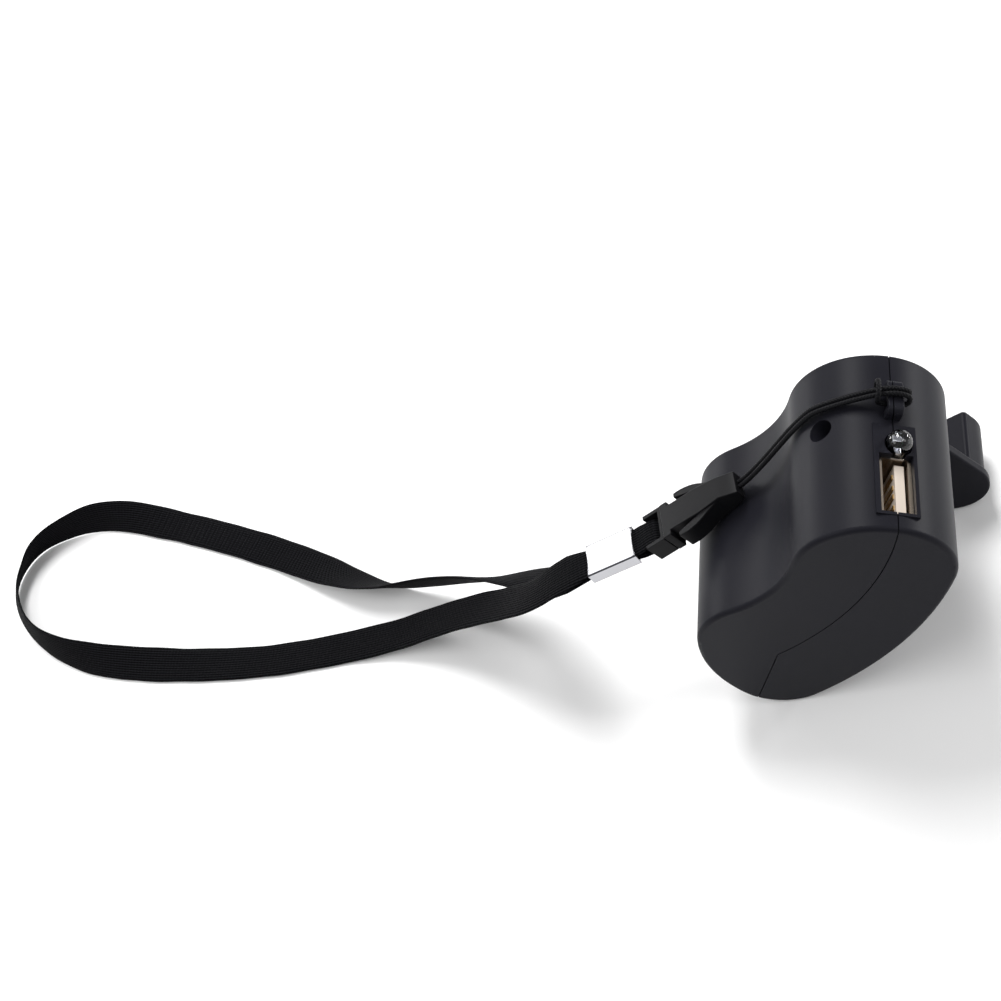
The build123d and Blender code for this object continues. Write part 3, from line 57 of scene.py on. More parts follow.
# %% [markdown]
# ## Camera
# The photograph looks down on the charger from the front left of its socket.  The lens and the
# place come from the outline of the casing and the known size of a USB socket.

# %% Put the camera where the photograph was taken
CAMERA_AT = (71.3, -183.6, 303.2)
CAMERA_TURN = (35.58, 25.77, 6.07)
LENS = 53.95
camera_turn = [math.radians(angle) for angle in CAMERA_TURN]
bpy.ops.object.camera_add(location=Vector(CAMERA_AT) * MM, rotation=camera_turn)
camera = bpy.context.object
camera.name = "camera"
camera.data.lens = LENS
camera.data.sensor_width = 36.0
camera.data.clip_start = 0.01
bpy.context.scene.camera = camera
print("camera", tuple(round(c, 3) for c in camera.location))

# %% [markdown]
# ## Colours and nodes
# Paint charts and photographs give colours as sRGB hex codes, while a shader works with linear
# light, so one function turns the first into the second.  A second one adds a shader node, sets
# it up and wires it in one line, which keeps each material short enough to read at a glance.  The
# last two start a material with its fixed values and join one node's output to its surface.

# %% Four small helpers
def linear(code):
    channels = [int(code[i:i + 2], 16) / 255 for i in (1, 3, 5)]
    lit = [c / 12.92 if c <= 0.04045 else ((c + 0.055) / 1.055) ** 2.4 for c in channels]
    return (*lit, 1.0)


def add_node(material, kind, inputs=None, **settings):
    """A new node; an input given as (node, socket) is linked, and any other is set."""
    node = material.node_tree.nodes.new(kind)
    for name, value in settings.items():
        setattr(node, name, value)
    for name, value in (inputs or {}).items():
        if isinstance(value, tuple) and isinstance(value[0], bpy.types.Node):
            material.node_tree.links.new(value[0].outputs[value[1]], node.inputs[name])
        else:
            node.inputs[name].default_value = value
    return node


def new_material(name, surface):
    """A material whose Principled surface has these fixed values."""
    material = bpy.data.materials.new(name)
    material.use_nodes = True
    shader = material.node_tree.nodes["Principled BSDF"]
    for socket, value in surface.items():
        shader.inputs[socket].default_value = value
    return material, shader


def wire(material, source, output, shader, socket):
    material.node_tree.links.new(source.outputs[output], shader.inputs[socket])


print("black plastic in linear light", [round(c, 4) for c in linear("#26272a")[:3]])

# %% [markdown]
# ## Table and light
# The object was cut out on white, so the table is a plain pale sheet.  A broad soft light high on
# the left and a weaker one on the right light the table.  The walls of the casing mirror what is
# behind it, so three narrow lights stand there and draw the slow bright bands of the photograph,
# and a fourth one lights the flat top of the polished crimp.  The room is dim, since a bright one
# would turn black plastic grey.

# %% Table top, soft boxes and sky
TABLE_SIZE = 6.0
TABLE_GAP = 0.2 * MM
ROOM_LIGHT = 0.45
bpy.ops.mesh.primitive_plane_add(size=TABLE_SIZE, location=(0, 0, -TABLE_GAP))
table = bpy.context.object
table.name = "table_top"
paper, paper_shader = new_material("matte_paper_sweep", {
    "Base Color": linear("#f4f4f4"), "Roughness": 0.9, "IOR": 1.4,
})
table.data.materials.append(paper)


def soft_box(name, place, size, watts, target=(0.0, 0.0, 0.03)):
    bpy.ops.object.light_add(type="AREA", location=place)
    lamp = bpy.context.object
    lamp.name = name
    lamp.data.shape = "RECTANGLE"
    lamp.data.size, lamp.data.size_y = size
    lamp.data.energy = watts
    aim = Vector(target) - Vector(place)
    lamp.rotation_euler = aim.to_track_quat("-Z", "Y").to_euler()
    return lamp


soft_box("left_soft_box", (-0.70, -0.30, 0.95), (0.8, 0.7), 4.5)
soft_box("right_soft_box", (0.80, -0.25, 0.80), (0.5, 0.9), 3.0)
soft_box("lobe_strip", (-0.08, 0.60, 0.95), (0.3, 0.7), 11.5)
soft_box("waist_strip", (-0.98, 0.64, 0.26), (0.25, 0.4), 2.8)
soft_box("rim_strip", (0.98, 0.60, 0.14), (0.25, 0.25), 6.5)
soft_box("mirror_soft_box", (-0.62, 0.58, 0.68), (0.45, 0.45), 1.6)
world = bpy.data.worlds.new("white_room")
bpy.context.scene.world = world
world.use_nodes = True
world.node_tree.nodes["Background"].inputs["Color"].default_value = (1, 1, 1, 1)
world.node_tree.nodes["Background"].inputs["Strength"].default_value = ROOM_LIGHT
bpy.context.scene.view_settings.view_transform = "Standard"

# %% [markdown]
# ## Black ABS
# The casing, the crank and the grip are injection-moulded ABS in black, with a mould surface that
# was spark-eroded to a fine even grain.  To the eye that is a dark grey with soft wide highlights
# and no mirror image.  The grain of about 0.15 mm would vanish in a render, so it is drawn at
# 0.3 mm.  A second noise, 22 mm across, makes the gloss vary where hands have polished it.

# %% Moulded black ABS
WEAR_MM = 22
GLOSS_SPREAD = (-0.05, 0.06)


def moulded_plastic(name, colour, roughness, grain_mm, grain_depth, gloss_level=0.4):
    material, shader = new_material(name, {"IOR": 1.54, "Specular IOR Level": gloss_level})
    place = add_node(material, "ShaderNodeTexCoord")
    grain = add_node(material, "ShaderNodeTexNoise", {
        "Vector": (place, "Object"), "Scale": 1 / (grain_mm * MM), "Detail": 2.0,
    })
    wear = add_node(material, "ShaderNodeTexNoise", {
        "Vector": (place, "Object"), "Scale": 1 / (WEAR_MM * MM), "Detail": 3.0,
    })
    gloss = add_node(material, "ShaderNodeMapRange", {
        "Value": (wear, "Fac"),
        "To Min": roughness + GLOSS_SPREAD[0], "To Max": roughness + GLOSS_SPREAD[1],
    })
    tint = add_node(material, "ShaderNodeMix", {
        "Factor": (wear, "Fac"), "A": linear(colour[0]), "B": linear(colour[1]),
    }, data_type="RGBA")
    relief = add_node(material, "ShaderNodeBump", {
        "Height": (grain, "Fac"), "Strength": 1.0, "Distance": grain_depth * MM,
    })
    wire(material, tint, "Result", shader, "Base Color")
    wire(material, gloss, "Result", shader, "Roughness")
    wire(material, relief, "Normal", shader, "Normal")
    return material


black_abs = moulded_plastic("spark_textured_abs", ("#15151a", "#1b1b21"), 0.42, 0.3, 0.010, 0.055)
buckle_acetal = moulded_plastic("buckle_acetal", ("#0f0f11", "#141416"), 0.38, 0.25, 0.004, 0.08)
print("plastics", black_abs.name, buckle_acetal.name)

# %% [markdown]
# ## Metals
# Every metal here keeps the shader's default IOR.  The socket is nickel-plated sheet, coloured
# darker than the metal as painted shade inside the socket and warm as a painted reflection of its
# cream insulator; its gold-plated contacts are darkened with painted shade too.  The crimp is
# polished nickel over brass, and its bends get a darker, rougher metal that paints a line of shade
# along them.  The hidden sheet parts are zinc-plated, with faint rolling marks every half
# millimetre.

# %% Plated, ground and cast metals
MARK_GLOSS = (0.75, 1.3)
MARK_DEPTH_MM = 0.004


def worked_metal(name, colour, roughness, mark_mm, stretch):
    material, shader = new_material(name, {"Metallic": 1.0, "Base Color": linear(colour)})
    place = add_node(material, "ShaderNodeTexCoord")
    along = add_node(material, "ShaderNodeMapping", {"Vector": (place, "Object"), "Scale": stretch})
    marks = add_node(material, "ShaderNodeTexNoise", {
        "Vector": (along, "Vector"), "Scale": 1 / (mark_mm * MM), "Detail": 3.0,
    })
    gloss = add_node(material, "ShaderNodeMapRange", {
        "Value": (marks, "Fac"),
        "To Min": roughness * MARK_GLOSS[0], "To Max": roughness * MARK_GLOSS[1],
    })
    relief = add_node(material, "ShaderNodeBump", {
        "Height": (marks, "Fac"), "Strength": 0.4, "Distance": MARK_DEPTH_MM * MM,
    })
    wire(material, gloss, "Result", shader, "Roughness")
    wire(material, relief, "Normal", shader, "Normal")
    return material


# Painted shade: the socket's nickel and its gold contacts are darker than the metals, and the
# nickel is tinted warm as a painted reflection of the cream insulator.
painted_light_nickel = worked_metal("plated_nickel_painted_shade_and_reflection", "#aca092", 0.24, 0.6, (1.0, 1.0, 0.15))
polished_nickel = worked_metal("polished_nickel_crimp", "#b6b6ba", 0.12, 1.2, (0.2, 1.0, 1.0))
# Painted shade: a dark, rougher nickel for the bends of the crimp, drawing a line of shade there.
painted_shade_bend_nickel = worked_metal("nickel_bends_painted_shade", "#48484c", 0.34, 0.5, (0.2, 1.0, 1.0))
painted_shade_gold = worked_metal("gold_contacts_painted_shade", "#a88a58", 0.3, 0.4, (1.0, 1.0, 0.2))
zinc_sheet = worked_metal("zinc_plated_steel", "#a9adb1", 0.34, 0.5, (0.1, 1.0, 1.0))
ground_steel = worked_metal("ground_steel", "#c2c5c8", 0.2, 0.3, (1.0, 0.1, 1.0))
black_oxide = worked_metal("black_oxide_steel", "#1b1b1e", 0.38, 0.4, (1.0, 1.0, 1.0))
bare_copper = worked_metal("drawn_copper", "#c07a46", 0.3, 0.25, (1.0, 0.2, 1.0))
porous_bronze = worked_metal("sintered_bronze", "#9d7444", 0.48, 0.12, (1.0, 1.0, 1.0))
print("metals", painted_light_nickel.name, polished_nickel.name, zinc_sheet.name)

# %% [markdown]
# ## Small mouldings, board and magnets
# The tongue of the socket is moulded in cream nylon, and its front shows.  The remaining parts
# hide in the casing.  Nylon gears are cream and slightly waxy.  A circuit board is green lacquer
# over glass cloth, whose weave of 0.7 mm is drawn at 2.2 mm.  Ferrite magnets are dull dark grey.

# %% Nylon, lacquered board, ferrite, sleeves and insulation
white_nylon = moulded_plastic("unfilled_nylon", ("#e4dfd0", "#ece8db"), 0.4, 0.5, 0.004)
white_nylon.node_tree.nodes["Principled BSDF"].inputs["Subsurface Weight"].default_value = 0.1
white_nylon.node_tree.nodes["Principled BSDF"].inputs["Subsurface Scale"].default_value = 1.5 * MM
insulator = moulded_plastic("glass_filled_nylon", ("#17171a", "#1e1e21"), 0.5, 0.2, 0.006)
socket_cream = moulded_plastic("cream_socket_nylon", ("#cbbfb3", "#d6cabd"), 0.4, 0.4, 0.004)
ferrite = moulded_plastic("sintered_ferrite", ("#28292c", "#333438"), 0.62, 0.2, 0.01)
red_pvc = moulded_plastic("red_wire_sheath", ("#9c1d1a", "#a82521"), 0.38, 0.6, 0.004)
black_pvc = moulded_plastic("black_wire_sheath", ("#161618", "#1c1c1f"), 0.38, 0.6, 0.004)
blue_sleeve = moulded_plastic("shrunk_vinyl_sleeve", ("#1b2444", "#222c50"), 0.3, 1.5, 0.006)


CLOTH_MM = 2.2
BAND_LENGTH = 2 * math.pi / 20  # of one band of the wave texture at a scale of 1


def lacquered_board():
    material, shader = new_material("lacquered_glass_board", {"IOR": 1.5, "Roughness": 0.3})
    place = add_node(material, "ShaderNodeTexCoord")
    cloth = add_node(material, "ShaderNodeTexWave", {
        "Vector": (place, "Object"), "Scale": BAND_LENGTH / (CLOTH_MM * MM), "Distortion": 0.4,
    })
    tint = add_node(material, "ShaderNodeMix", {
        "Factor": (cloth, "Fac"), "A": linear("#1c4d30"), "B": linear("#236039"),
    }, data_type="RGBA")
    wire(material, tint, "Result", shader, "Base Color")
    return material


board_lacquer = lacquered_board()
print("small parts", white_nylon.name, board_lacquer.name, ferrite.name)

# %% [markdown]
# ## Clear epoxy
# The lamp is cast in water-clear epoxy, IOR 1.5, and stands over a dark hole.  So it shows as a
# dark bead with a few bright streaks, and the metal inside it as pale slivers.  Slow waves in the
# casting, about 2.5 mm long, bend those streaks.

# %% Clear cast epoxy
FLOW_MM = 2.5
FLOW_DEPTH_MM = 0.03


def clear_epoxy():
    material, shader = new_material("clear_cast_epoxy", {
        "Base Color": linear("#e9edf2"), "IOR": 1.5, "Transmission Weight": 1.0,
    })
    place = add_node(material, "ShaderNodeTexCoord")
    flow = add_node(material, "ShaderNodeTexNoise", {
        "Vector": (place, "Object"), "Scale": 1 / (FLOW_MM * MM), "Detail": 1.0,
    })
    gloss = add_node(material, "ShaderNodeMapRange", {
        "Value": (flow, "Fac"), "To Min": 0.01, "To Max": 0.08,
    })
    relief = add_node(material, "ShaderNodeBump", {
        "Height": (flow, "Fac"), "Strength": 0.5, "Distance": FLOW_DEPTH_MM * MM,
    })
    wire(material, gloss, "Result", shader, "Roughness")
    wire(material, relief, "Normal", shader, "Normal")
    return material


lamp_epoxy = clear_epoxy()
print("lens", lamp_epoxy.name)

# %% [markdown]
# ## Finishes for the rigid parts
# A rigid part keeps the mesh it came with, because its shape is already right.  It only needs its
# surface, so each finish gets a list of the parts that have it.

# %% Give every rigid part its surface
FINISHES = (
    (black_abs, ("waist_side_casing", "belly_side_casing", "crank_arm", "crank_grip")),
    (buckle_acetal, ("release_socket", "release_plug")),
    (black_oxide, ("casing_screws", "crank_screw", "grip_pin")),
    (painted_light_nickel, ("usb_socket_shell",)),
    (painted_shade_gold, ("usb_contacts",)),
    (socket_cream, ("usb_socket_block",)),
    (insulator, ("voltage_regulator", "rectifier_diodes")),
    (lamp_epoxy, ("indicator_lamp",)),
    (polished_nickel, ("lamp_leads", "strap_crimp")),
    (board_lacquer, ("circuit_board",)),
    (blue_sleeve, ("smoothing_capacitor",)),
    (bare_copper, ("power_coil", "armature_windings", "commutator", "generator_brushes",
                   "generator_terminals")),
    (zinc_sheet, ("gear_carrier_plate", "gear_cover_plate", "plate_posts", "generator_can")),
    (ground_steel, ("first_axle", "second_axle", "generator_screws", "armature_core",
                    "rotor_shaft", "crank_shaft")),
    (porous_bronze, ("front_shaft_bush", "rear_shaft_bush")),
    (white_nylon, ("generator_end_cap", "rotor_pinion", "first_compound_gear",
                   "second_compound_gear", "crank_gear")),
    (ferrite, ("generator_magnets",)),
    (red_pvc, ("generator_lead_red",)),
    (black_pvc, ("generator_lead_black",)),
)
for finish, names in FINISHES:
    for name in names:
        nodes[name].data.materials.clear()
        nodes[name].data.materials.append(finish)
print("finished", sum(len(names) for finish, names in FINISHES), "rigid parts")

# %% [markdown]
# ## Webbing and cord: a smooth line first
# A strap or a cord is a fixed length of something flexible, so its middle line comes before its
# shape.  A NURBS curve of order 3 that a few chosen corners steer gives a line with no kinks.  It
# is read back as points at an even step, and rings of points round them are joined into a skin.

# %% Read points off a smooth curve and skin rings of points
LINE_STEPS = 24


def smooth_line(corners):
    """Points along the NURBS curve that these corners steer."""
    curve = bpy.data.curves.new("guide", "CURVE")
    curve.dimensions = "3D"
    curve.resolution_u = LINE_STEPS
    spline = curve.splines.new("NURBS")
    spline.points.add(len(corners) - 1)
    for point, corner in zip(spline.points, corners):
        point.co = (*corner, 1.0)
    spline.order_u = 3
    spline.use_endpoint_u = True
    guide = bpy.data.objects.new("guide", curve)
    mesh = bpy.data.meshes.new_from_object(guide)
    points = np.array([vertex.co for vertex in mesh.vertices])
    bpy.data.meshes.remove(mesh)
    bpy.data.objects.remove(guide)
    bpy.data.curves.remove(curve)
    return points


def unit(vectors):
    return vectors / np.linalg.norm(vectors, axis=1)[:, None]


def travelled(points):
    steps = np.linalg.norm(np.diff(points, axis=0), axis=1)
    return np.concatenate(([0.0], np.cumsum(steps)))


def evenly(points, extra, step):
    """The line and its companion values again, at an even step."""
    done = travelled(points)
    count = int(done[-1] / step) + 1
    marks = np.linspace(0, done[-1], count)
    line = np.stack([np.interp(marks, done, points[:, axis]) for axis in range(3)], axis=1)
    return line, np.stack([np.interp(marks, done, column) for column in extra.T], axis=1), marks


def skinned(name, points, size, material):
    """A smooth closed object over rings of points, with this many points to a ring."""
    count = len(points) // size
    faces = []
    for ring in range(count - 1):
        low, high = ring * size, (ring + 1) * size
        for spot in range(size):
            beside = (spot + 1) % size
            faces.append((low + spot, low + beside, high + beside, high + spot))
    faces.append(tuple(range(size))[::-1])
    faces.append(tuple((count - 1) * size + spot for spot in range(size)))
    mesh = bpy.data.meshes.new(name)
    mesh.from_pydata(points.tolist(), [], faces)
    mesh.materials.append(material)
    mesh.shade_smooth()
    piece = bpy.data.objects.new(name, mesh)
    bpy.context.scene.collection.objects.link(piece)
    return piece


print("helpers for lines and skins are ready")

# %% [markdown]
# ## Black ribbed webbing
# The strap is narrow polyester webbing, 10 mm wide and 1 mm thick.  Its warp ends lie side by side
# and show as fine cords along the strap, 0.7 mm apart, and its weft crosses them every 1.1 mm.  The
# weft is in the mesh, where it roughens the outline, and the warp is relief on the strap's own UV
# map, in metres.

# %% Polyester webbing
RIB_MM, WARP_MM, FUZZ_MM = 1.1, 0.7, 0.4
WARP_SHARE, FUZZ_SHARE = 2.6, 0.8
YARN_DEPTH_MM = 0.05


def ribbed_webbing():
    material, shader = new_material("ribbed_polyester_webbing", {
        "Roughness": 0.7, "IOR": 1.5, "Specular IOR Level": 0.03,
    })
    cloth = add_node(material, "ShaderNodeUVMap", uv_map="webbing")
    split = add_node(material, "ShaderNodeSeparateXYZ", {"Vector": (cloth, "UV")})
    warp_turn = add_node(material, "ShaderNodeMath", {
        0: (split, "X"), 1: 2 * math.pi / (WARP_MM * MM),
    }, operation="MULTIPLY")
    warp = add_node(material, "ShaderNodeMath", {0: (warp_turn, "Value")}, operation="SINE")
    rib_turn = add_node(material, "ShaderNodeMath", {
        0: (split, "Y"), 1: 2 * math.pi / (RIB_MM * MM),
    }, operation="MULTIPLY")
    rib = add_node(material, "ShaderNodeMath", {0: (rib_turn, "Value")}, operation="COSINE")
    woven = add_node(material, "ShaderNodeMath", {
        0: (warp, "Value"), 1: WARP_SHARE, 2: (rib, "Value"),
    }, operation="MULTIPLY_ADD")
    fuzz = add_node(material, "ShaderNodeTexNoise", {
        "Vector": (cloth, "UV"), "Scale": 1 / (FUZZ_MM * MM), "Detail": 4.0,
    })
    height = add_node(material, "ShaderNodeMath", {
        0: (fuzz, "Fac"), 1: FUZZ_SHARE, 2: (woven, "Value"),
    }, operation="MULTIPLY_ADD")
    relief = add_node(material, "ShaderNodeBump", {
        "Height": (height, "Value"), "Strength": 1.0, "Distance": YARN_DEPTH_MM * MM,
    })
    # Painted shade: the colour follows the relief height, darker in the weave's hollows and lighter
    # on its ridges, with random fuzz on top.
    shade = add_node(material, "ShaderNodeMapRange", {
        "Value": (height, "Value"), "From Min": -2.6, "From Max": 4.0,
    })
    tint = add_node(material, "ShaderNodeMix", {
        "Factor": (shade, "Result"), "A": linear("#030304"), "B": linear("#18181b"),
    }, data_type="RGBA")
    wire(material, tint, "Result", shader, "Base Color")
    wire(material, relief, "Normal", shader, "Normal")
    return material


webbing_cloth = ribbed_webbing()
print("cloth", webbing_cloth.name)

# %% [markdown]
# ## A ribbon's skin
# At each point of the line the ribbon has a width direction.  The cross-section is a flat loop
# with soft edges, and joining the loops gives one closed strap.  Its edges wander by a tenth of a
# millimetre, as narrow webbing does where the weft turns back: two waves of different length are
# added, so the wander doesn't repeat.

# %% Build a ribbon round a line
WEB_T = 1.0 * MM
WEB_WIDTH = 10.0 * MM
ACROSS = 10
RIB_RISE = 0.025 * MM
RIB_ROOM = 0.06 * MM
WANDER = 0.09 * MM
WANDER_WAVES = (2.3 * MM, 3.7 * MM)
EDGE_ZONE = 0.9
EDGE_POWER = 6


def ribbon(name, line, width_way, widths, along):
    """A closed strap round the line, ribbed across, with its cloth map in metres."""
    travel = unit(np.gradient(line, axis=0))
    width_way = unit(width_way - travel * np.sum(width_way * travel, axis=1)[:, None])
    face_way = np.cross(travel, width_way)
    spots = np.cos(np.linspace(math.pi, 0, ACROSS))
    profile = [(x, 1) for x in spots] + [(x, -1) for x in spots[::-1]]
    rib = RIB_RISE * np.cos(2 * math.pi * along / (RIB_MM * MM))
    short_wave, long_wave = WANDER_WAVES
    wander = WANDER * (np.sin(along / short_wave) + np.sin(along / long_wave + 1.0)) / 2
    rings, maps = [], []
    for x, side in profile:
        soft_edge = math.sqrt(max(0.0, 1 - abs(x) ** EDGE_POWER))
        thick = (WEB_T / 2 - RIB_ROOM + rib) * soft_edge * side
        wide = x * (widths / 2 + wander * (abs(x) > EDGE_ZONE))
        rings.append(line + width_way * wide[:, None] + face_way * thick[:, None])
        maps.append(np.stack([x * widths / 2 + side * WARP_MM * MM / 4, along], axis=1))
    strap = skinned(name, np.stack(rings, axis=1).reshape(-1, 3), len(profile), webbing_cloth)
    cloth = np.stack(maps, axis=1).reshape(-1, 2)
    corners = np.array([loop.vertex_index for loop in strap.data.loops])
    uv = strap.data.uv_layers.new(name="webbing")
    uv.data.foreach_set("uv", cloth[corners].astype(np.float32).ravel())
    return strap


print("ribbon skin is", 2 * ACROSS, "points round")

# %% [markdown]
# ## The wrist loop
# The webbing leaves the upper side of the crimp, sinks to the table, turns over on its edge at the
# far bend and comes back to the crimp's lower side.  Each corner of the route holds the place of
# the middle line and how far the strap is rolled there: 0 lies flat, -90 stands on its edge and
# -180 lies on its other face.  A second smooth curve carries the roll, so both change together.

# %% Route and roll of the wrist loop
WEB_STEP = 0.25 * MM
WEB_ORIGIN = (-17.24, -30.5, 0.0)
WEB_LEAVES = ((-53.30, -10.22, 38.86, 4), (-60.10, -11.62, 37.97, 4))
WEB_RETURNS = ((-57.23, -11.11, 37.24, -184), (-53.15, -10.27, 37.77, -184))
WEB_ROUTE = (
    (-53.6, 18.2, 31.9, 3), (-66.9, 23.4, 22.3, 0), (-80.0, 27.8, 14.5, 0), (-94.3, 30.4, 7.5, 0),
    (-108.0, 31.2, 2.5, 0), (-122.0, 31.2, 0.5, 0), (-135.0, 30.4, 0.5, 0), (-151.0, 30.2, 0.5, 0),
    (-168.6, 31.4, 0.5, -4), (-186.0, 33.2, 0.5, -14), (-202.0, 35.6, 0.5, -28),
    (-214.0, 38.1, 0.5, -42), (-225.0, 41.8, 2.0, -56), (-234.5, 46.6, 3.0, -66),
    (-243.0, 53.3, 3.0, -64), (-249.4, 61.0, 3.0, -55), (-253.6, 69.0, 3.0, -48),
    (-253.2, 76.3, 3.0, -50), (-250.0, 82.3, 4.0, -64), (-243.0, 86.4, 5.0, -82),
    (-233.5, 89.1, 5.0, -102), (-225.0, 90.3, 4.0, -124), (-214.0, 89.3, 2.0, -152),
    (-200.0, 84.9, 0.5, -174), (-185.0, 79.4, 0.5, -180), (-168.0, 72.3, 0.5, -180),
    (-152.0, 65.0, 0.5, -180), (-138.0, 57.8, 0.5, -190), (-127.0, 51.8, 0.5, -208),
    (-117.0, 47.1, 3.0, -230), (-108.0, 45.0, 5.0, -246), (-99.0, 43.6, 6.8, -251),
    (-88.0, 41.0, 10.0, -250), (-77.0, 37.4, 13.4, -243), (-66.5, 34.0, 17.2, -218),
    (-56.0, 28.6, 22.2, -192), (-46.0, 21.8, 29.6, -185),
)
laid = [tuple(np.add(row[:3], WEB_ORIGIN)) + row[3:] for row in WEB_ROUTE]
web_corners = np.array([*WEB_LEAVES, *laid, *WEB_RETURNS])
web_line = smooth_line(web_corners[:, :3] * MM)
web_roll = smooth_line([(roll, 0, 0) for roll in web_corners[:, 3]])[:, :1]
web_line, web_roll, web_along = evenly(web_line, web_roll, WEB_STEP)
print("webbing line", round(web_along[-1] / MM, 1), "mm in", len(web_line), "points")

# %% [markdown]
# Where the strap is rolled, its lower edge would sink into the table, so the middle line is lifted
# by just as much as that edge needs.  Inside the crimp the webbing is gathered to 7.5 mm, and it
# takes 6 mm to spread to its full width again.

# %% Lift the loop onto the table and skin it
WEB_PINCHED = 7.5 * MM
WEB_SPREAD = 6.0 * MM
WEB_FLOOR_GAP = 0.02 * MM
UP = np.array([0.0, 0.0, 1.0])
web_travel = unit(np.gradient(web_line, axis=0))
level = unit(np.cross(UP, web_travel))
turn = np.radians(web_roll)
web_width_way = level * np.cos(turn) + np.cross(web_travel, level) * np.sin(turn)
web_face_way = np.cross(web_travel, web_width_way)
reach = WEB_WIDTH / 2 * abs(web_width_way[:, 2]) + WEB_T / 2 * abs(web_face_way[:, 2])
web_line[:, 2] = np.maximum(web_line[:, 2], reach + WEB_FLOOR_GAP)
from_end = np.minimum(web_along, web_along[-1] - web_along)
web_widths = WEB_PINCHED + (WEB_WIDTH - WEB_PINCHED) * np.clip(from_end / WEB_SPREAD, 0, 1)
wrist_loop = ribbon("wrist_loop_webbing", web_line, web_width_way, web_widths, web_along)
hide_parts("wrist_strap")
print("wrist loop", len(wrist_loop.data.polygons), "faces")

# %% [markdown]
# ## The folded end
# The two ends of the webbing pass through the crimp and are doubled round a bar in the buckle's
# plug.  The frame of the crimp is known, so this short route is written in it: along, up, and the
# width of the webbing there.

# %% Fold of webbing round the plug's bar
FOLD_STEP = 0.2 * MM
CRIMP_FRAME = Matrix((
    (0.97188, -0.19126, -0.13737, -36.704 * MM),
    (0.19903, 0.97895, 0.04516, -6.866 * MM),
    (0.12584, -0.07123, 0.98949, 40.451 * MM),
    (0, 0, 0, 1),
))
FOLD_ROUTE = (
    (-17.0, 0.55, 7.5), (-13.0, 0.55, 7.5), (-9.0, 0.55, 7.5), (-5.2, 0.55, 7.7),
    (-3.4, 0.75, 8.2), (-1.7, 1.28, 7.2), (0.0, 1.52, 7.1), (1.42, 1.2, 7.1), (1.62, 0.0, 7.1),
    (1.42, -1.2, 7.1), (0.0, -1.52, 7.1), (-1.7, -1.28, 7.2), (-3.4, -0.75, 8.2),
    (-5.2, -0.55, 7.7), (-9.0, -0.55, 7.5), (-13.0, -0.55, 7.5), (-17.0, -0.55, 7.5),
)
fold_corners = [CRIMP_FRAME @ Vector((x * MM, 0, z * MM)) for x, z, width in FOLD_ROUTE]
fold_line = smooth_line(fold_corners)
fold_widths = smooth_line([(width * MM, 0, 0) for x, z, width in FOLD_ROUTE])[:, :1]
fold_line, fold_widths, fold_along = evenly(fold_line, fold_widths, FOLD_STEP)
crimp_width_way = np.array(CRIMP_FRAME.to_3x3() @ Vector((0, -1, 0)))
fold_width_way = np.tile(crimp_width_way, (len(fold_line), 1))
webbing_fold = ribbon("webbing_fold", fold_line, fold_width_way, fold_widths[:, 0], fold_along)
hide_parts("strap_fold")
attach(webbing_fold, "strap")
print("fold", round(fold_along[-1] / MM, 1), "mm of webbing")

# %% [markdown]
# ## Braided cord
# A thin round cord of polyester, 1.1 mm across, is plaited from sixteen yarns.  Each yarn shows as
# a short slanted rib, leaning left and right in turn.  The fibres in a yarn would be too fine to
# see, so they are drawn as a grain of 0.15 mm.

# %% Polyester cord surface
FIBRE_MM = 0.15
FIBRE_DEPTH_MM = 0.02


def braided_polyester():
    material, shader = new_material("braided_polyester_cord", {
        "Roughness": 0.5, "IOR": 1.5, "Specular IOR Level": 0.08,
    })
    place = add_node(material, "ShaderNodeTexCoord")
    yarn = add_node(material, "ShaderNodeTexNoise", {
        "Vector": (place, "Object"), "Scale": 1 / (FIBRE_MM * MM), "Detail": 2.0,
    })
    tint = add_node(material, "ShaderNodeMix", {
        "Factor": (yarn, "Fac"), "A": linear("#060608"), "B": linear("#151518"),
    }, data_type="RGBA")
    relief = add_node(material, "ShaderNodeBump", {
        "Height": (yarn, "Fac"), "Strength": 0.6, "Distance": FIBRE_DEPTH_MM * MM,
    })
    wire(material, tint, "Result", shader, "Base Color")
    wire(material, relief, "Normal", shader, "Normal")
    return material


cord_yarn = braided_polyester()
print("cord", cord_yarn.name)

# %% [markdown]
# The cord is one loop.  It starts at the buckle, runs over the rounded end of the casing to the
# lug, makes a girth hitch there, and runs back beside itself.

# %% Route of the cord
CORD_D = 1.1 * MM
CORD_STEP = 0.11 * MM
CORD_ROUTE = (
    (-15.21, -1.48, 47.68), (-12.43, -0.86, 48.62), (3.91, -0.20, 65.16), (8.70, -0.20, 67.25),
    (21.37, -0.20, 68.72), (25.92, -0.20, 66.01), (24.46, 0.50, 63.56), (19.22, 0.50, 66.68),
    (19.89, 1.40, 68.78), (20.59, 0.50, 70.35), (20.59, -2.10, 70.35), (19.89, -3.00, 68.78),
    (19.22, -2.10, 66.68), (24.46, -2.10, 63.56), (25.92, -1.40, 66.01), (21.37, -1.40, 68.72),
    (8.70, -1.40, 67.25), (3.91, -1.40, 65.16), (-12.18, -2.14, 48.71), (-14.96, -2.75, 47.77),
)
cord_line = smooth_line(np.array(CORD_ROUTE) * MM)
cord_line, _, cord_along = evenly(cord_line, cord_line, CORD_STEP)
print("cord line", round(cord_along[-1] / MM, 1), "mm")

# %% [markdown]
# The plait is part of the tube's shape: four ridges wind to the left, four to the right, and at
# each spot the higher one lies on top.  That is half as many as the real cord has, since sixteen
# would run together at this size.  Each ring is turned as little as the line allows, so the plait
# doesn't twist where the cord bends.

# %% Plait a tube round the cord's line
AROUND = 24
RIDGES_EACH_WAY = 4
LAY = 2.6 * MM
YARN_DIP = 0.16


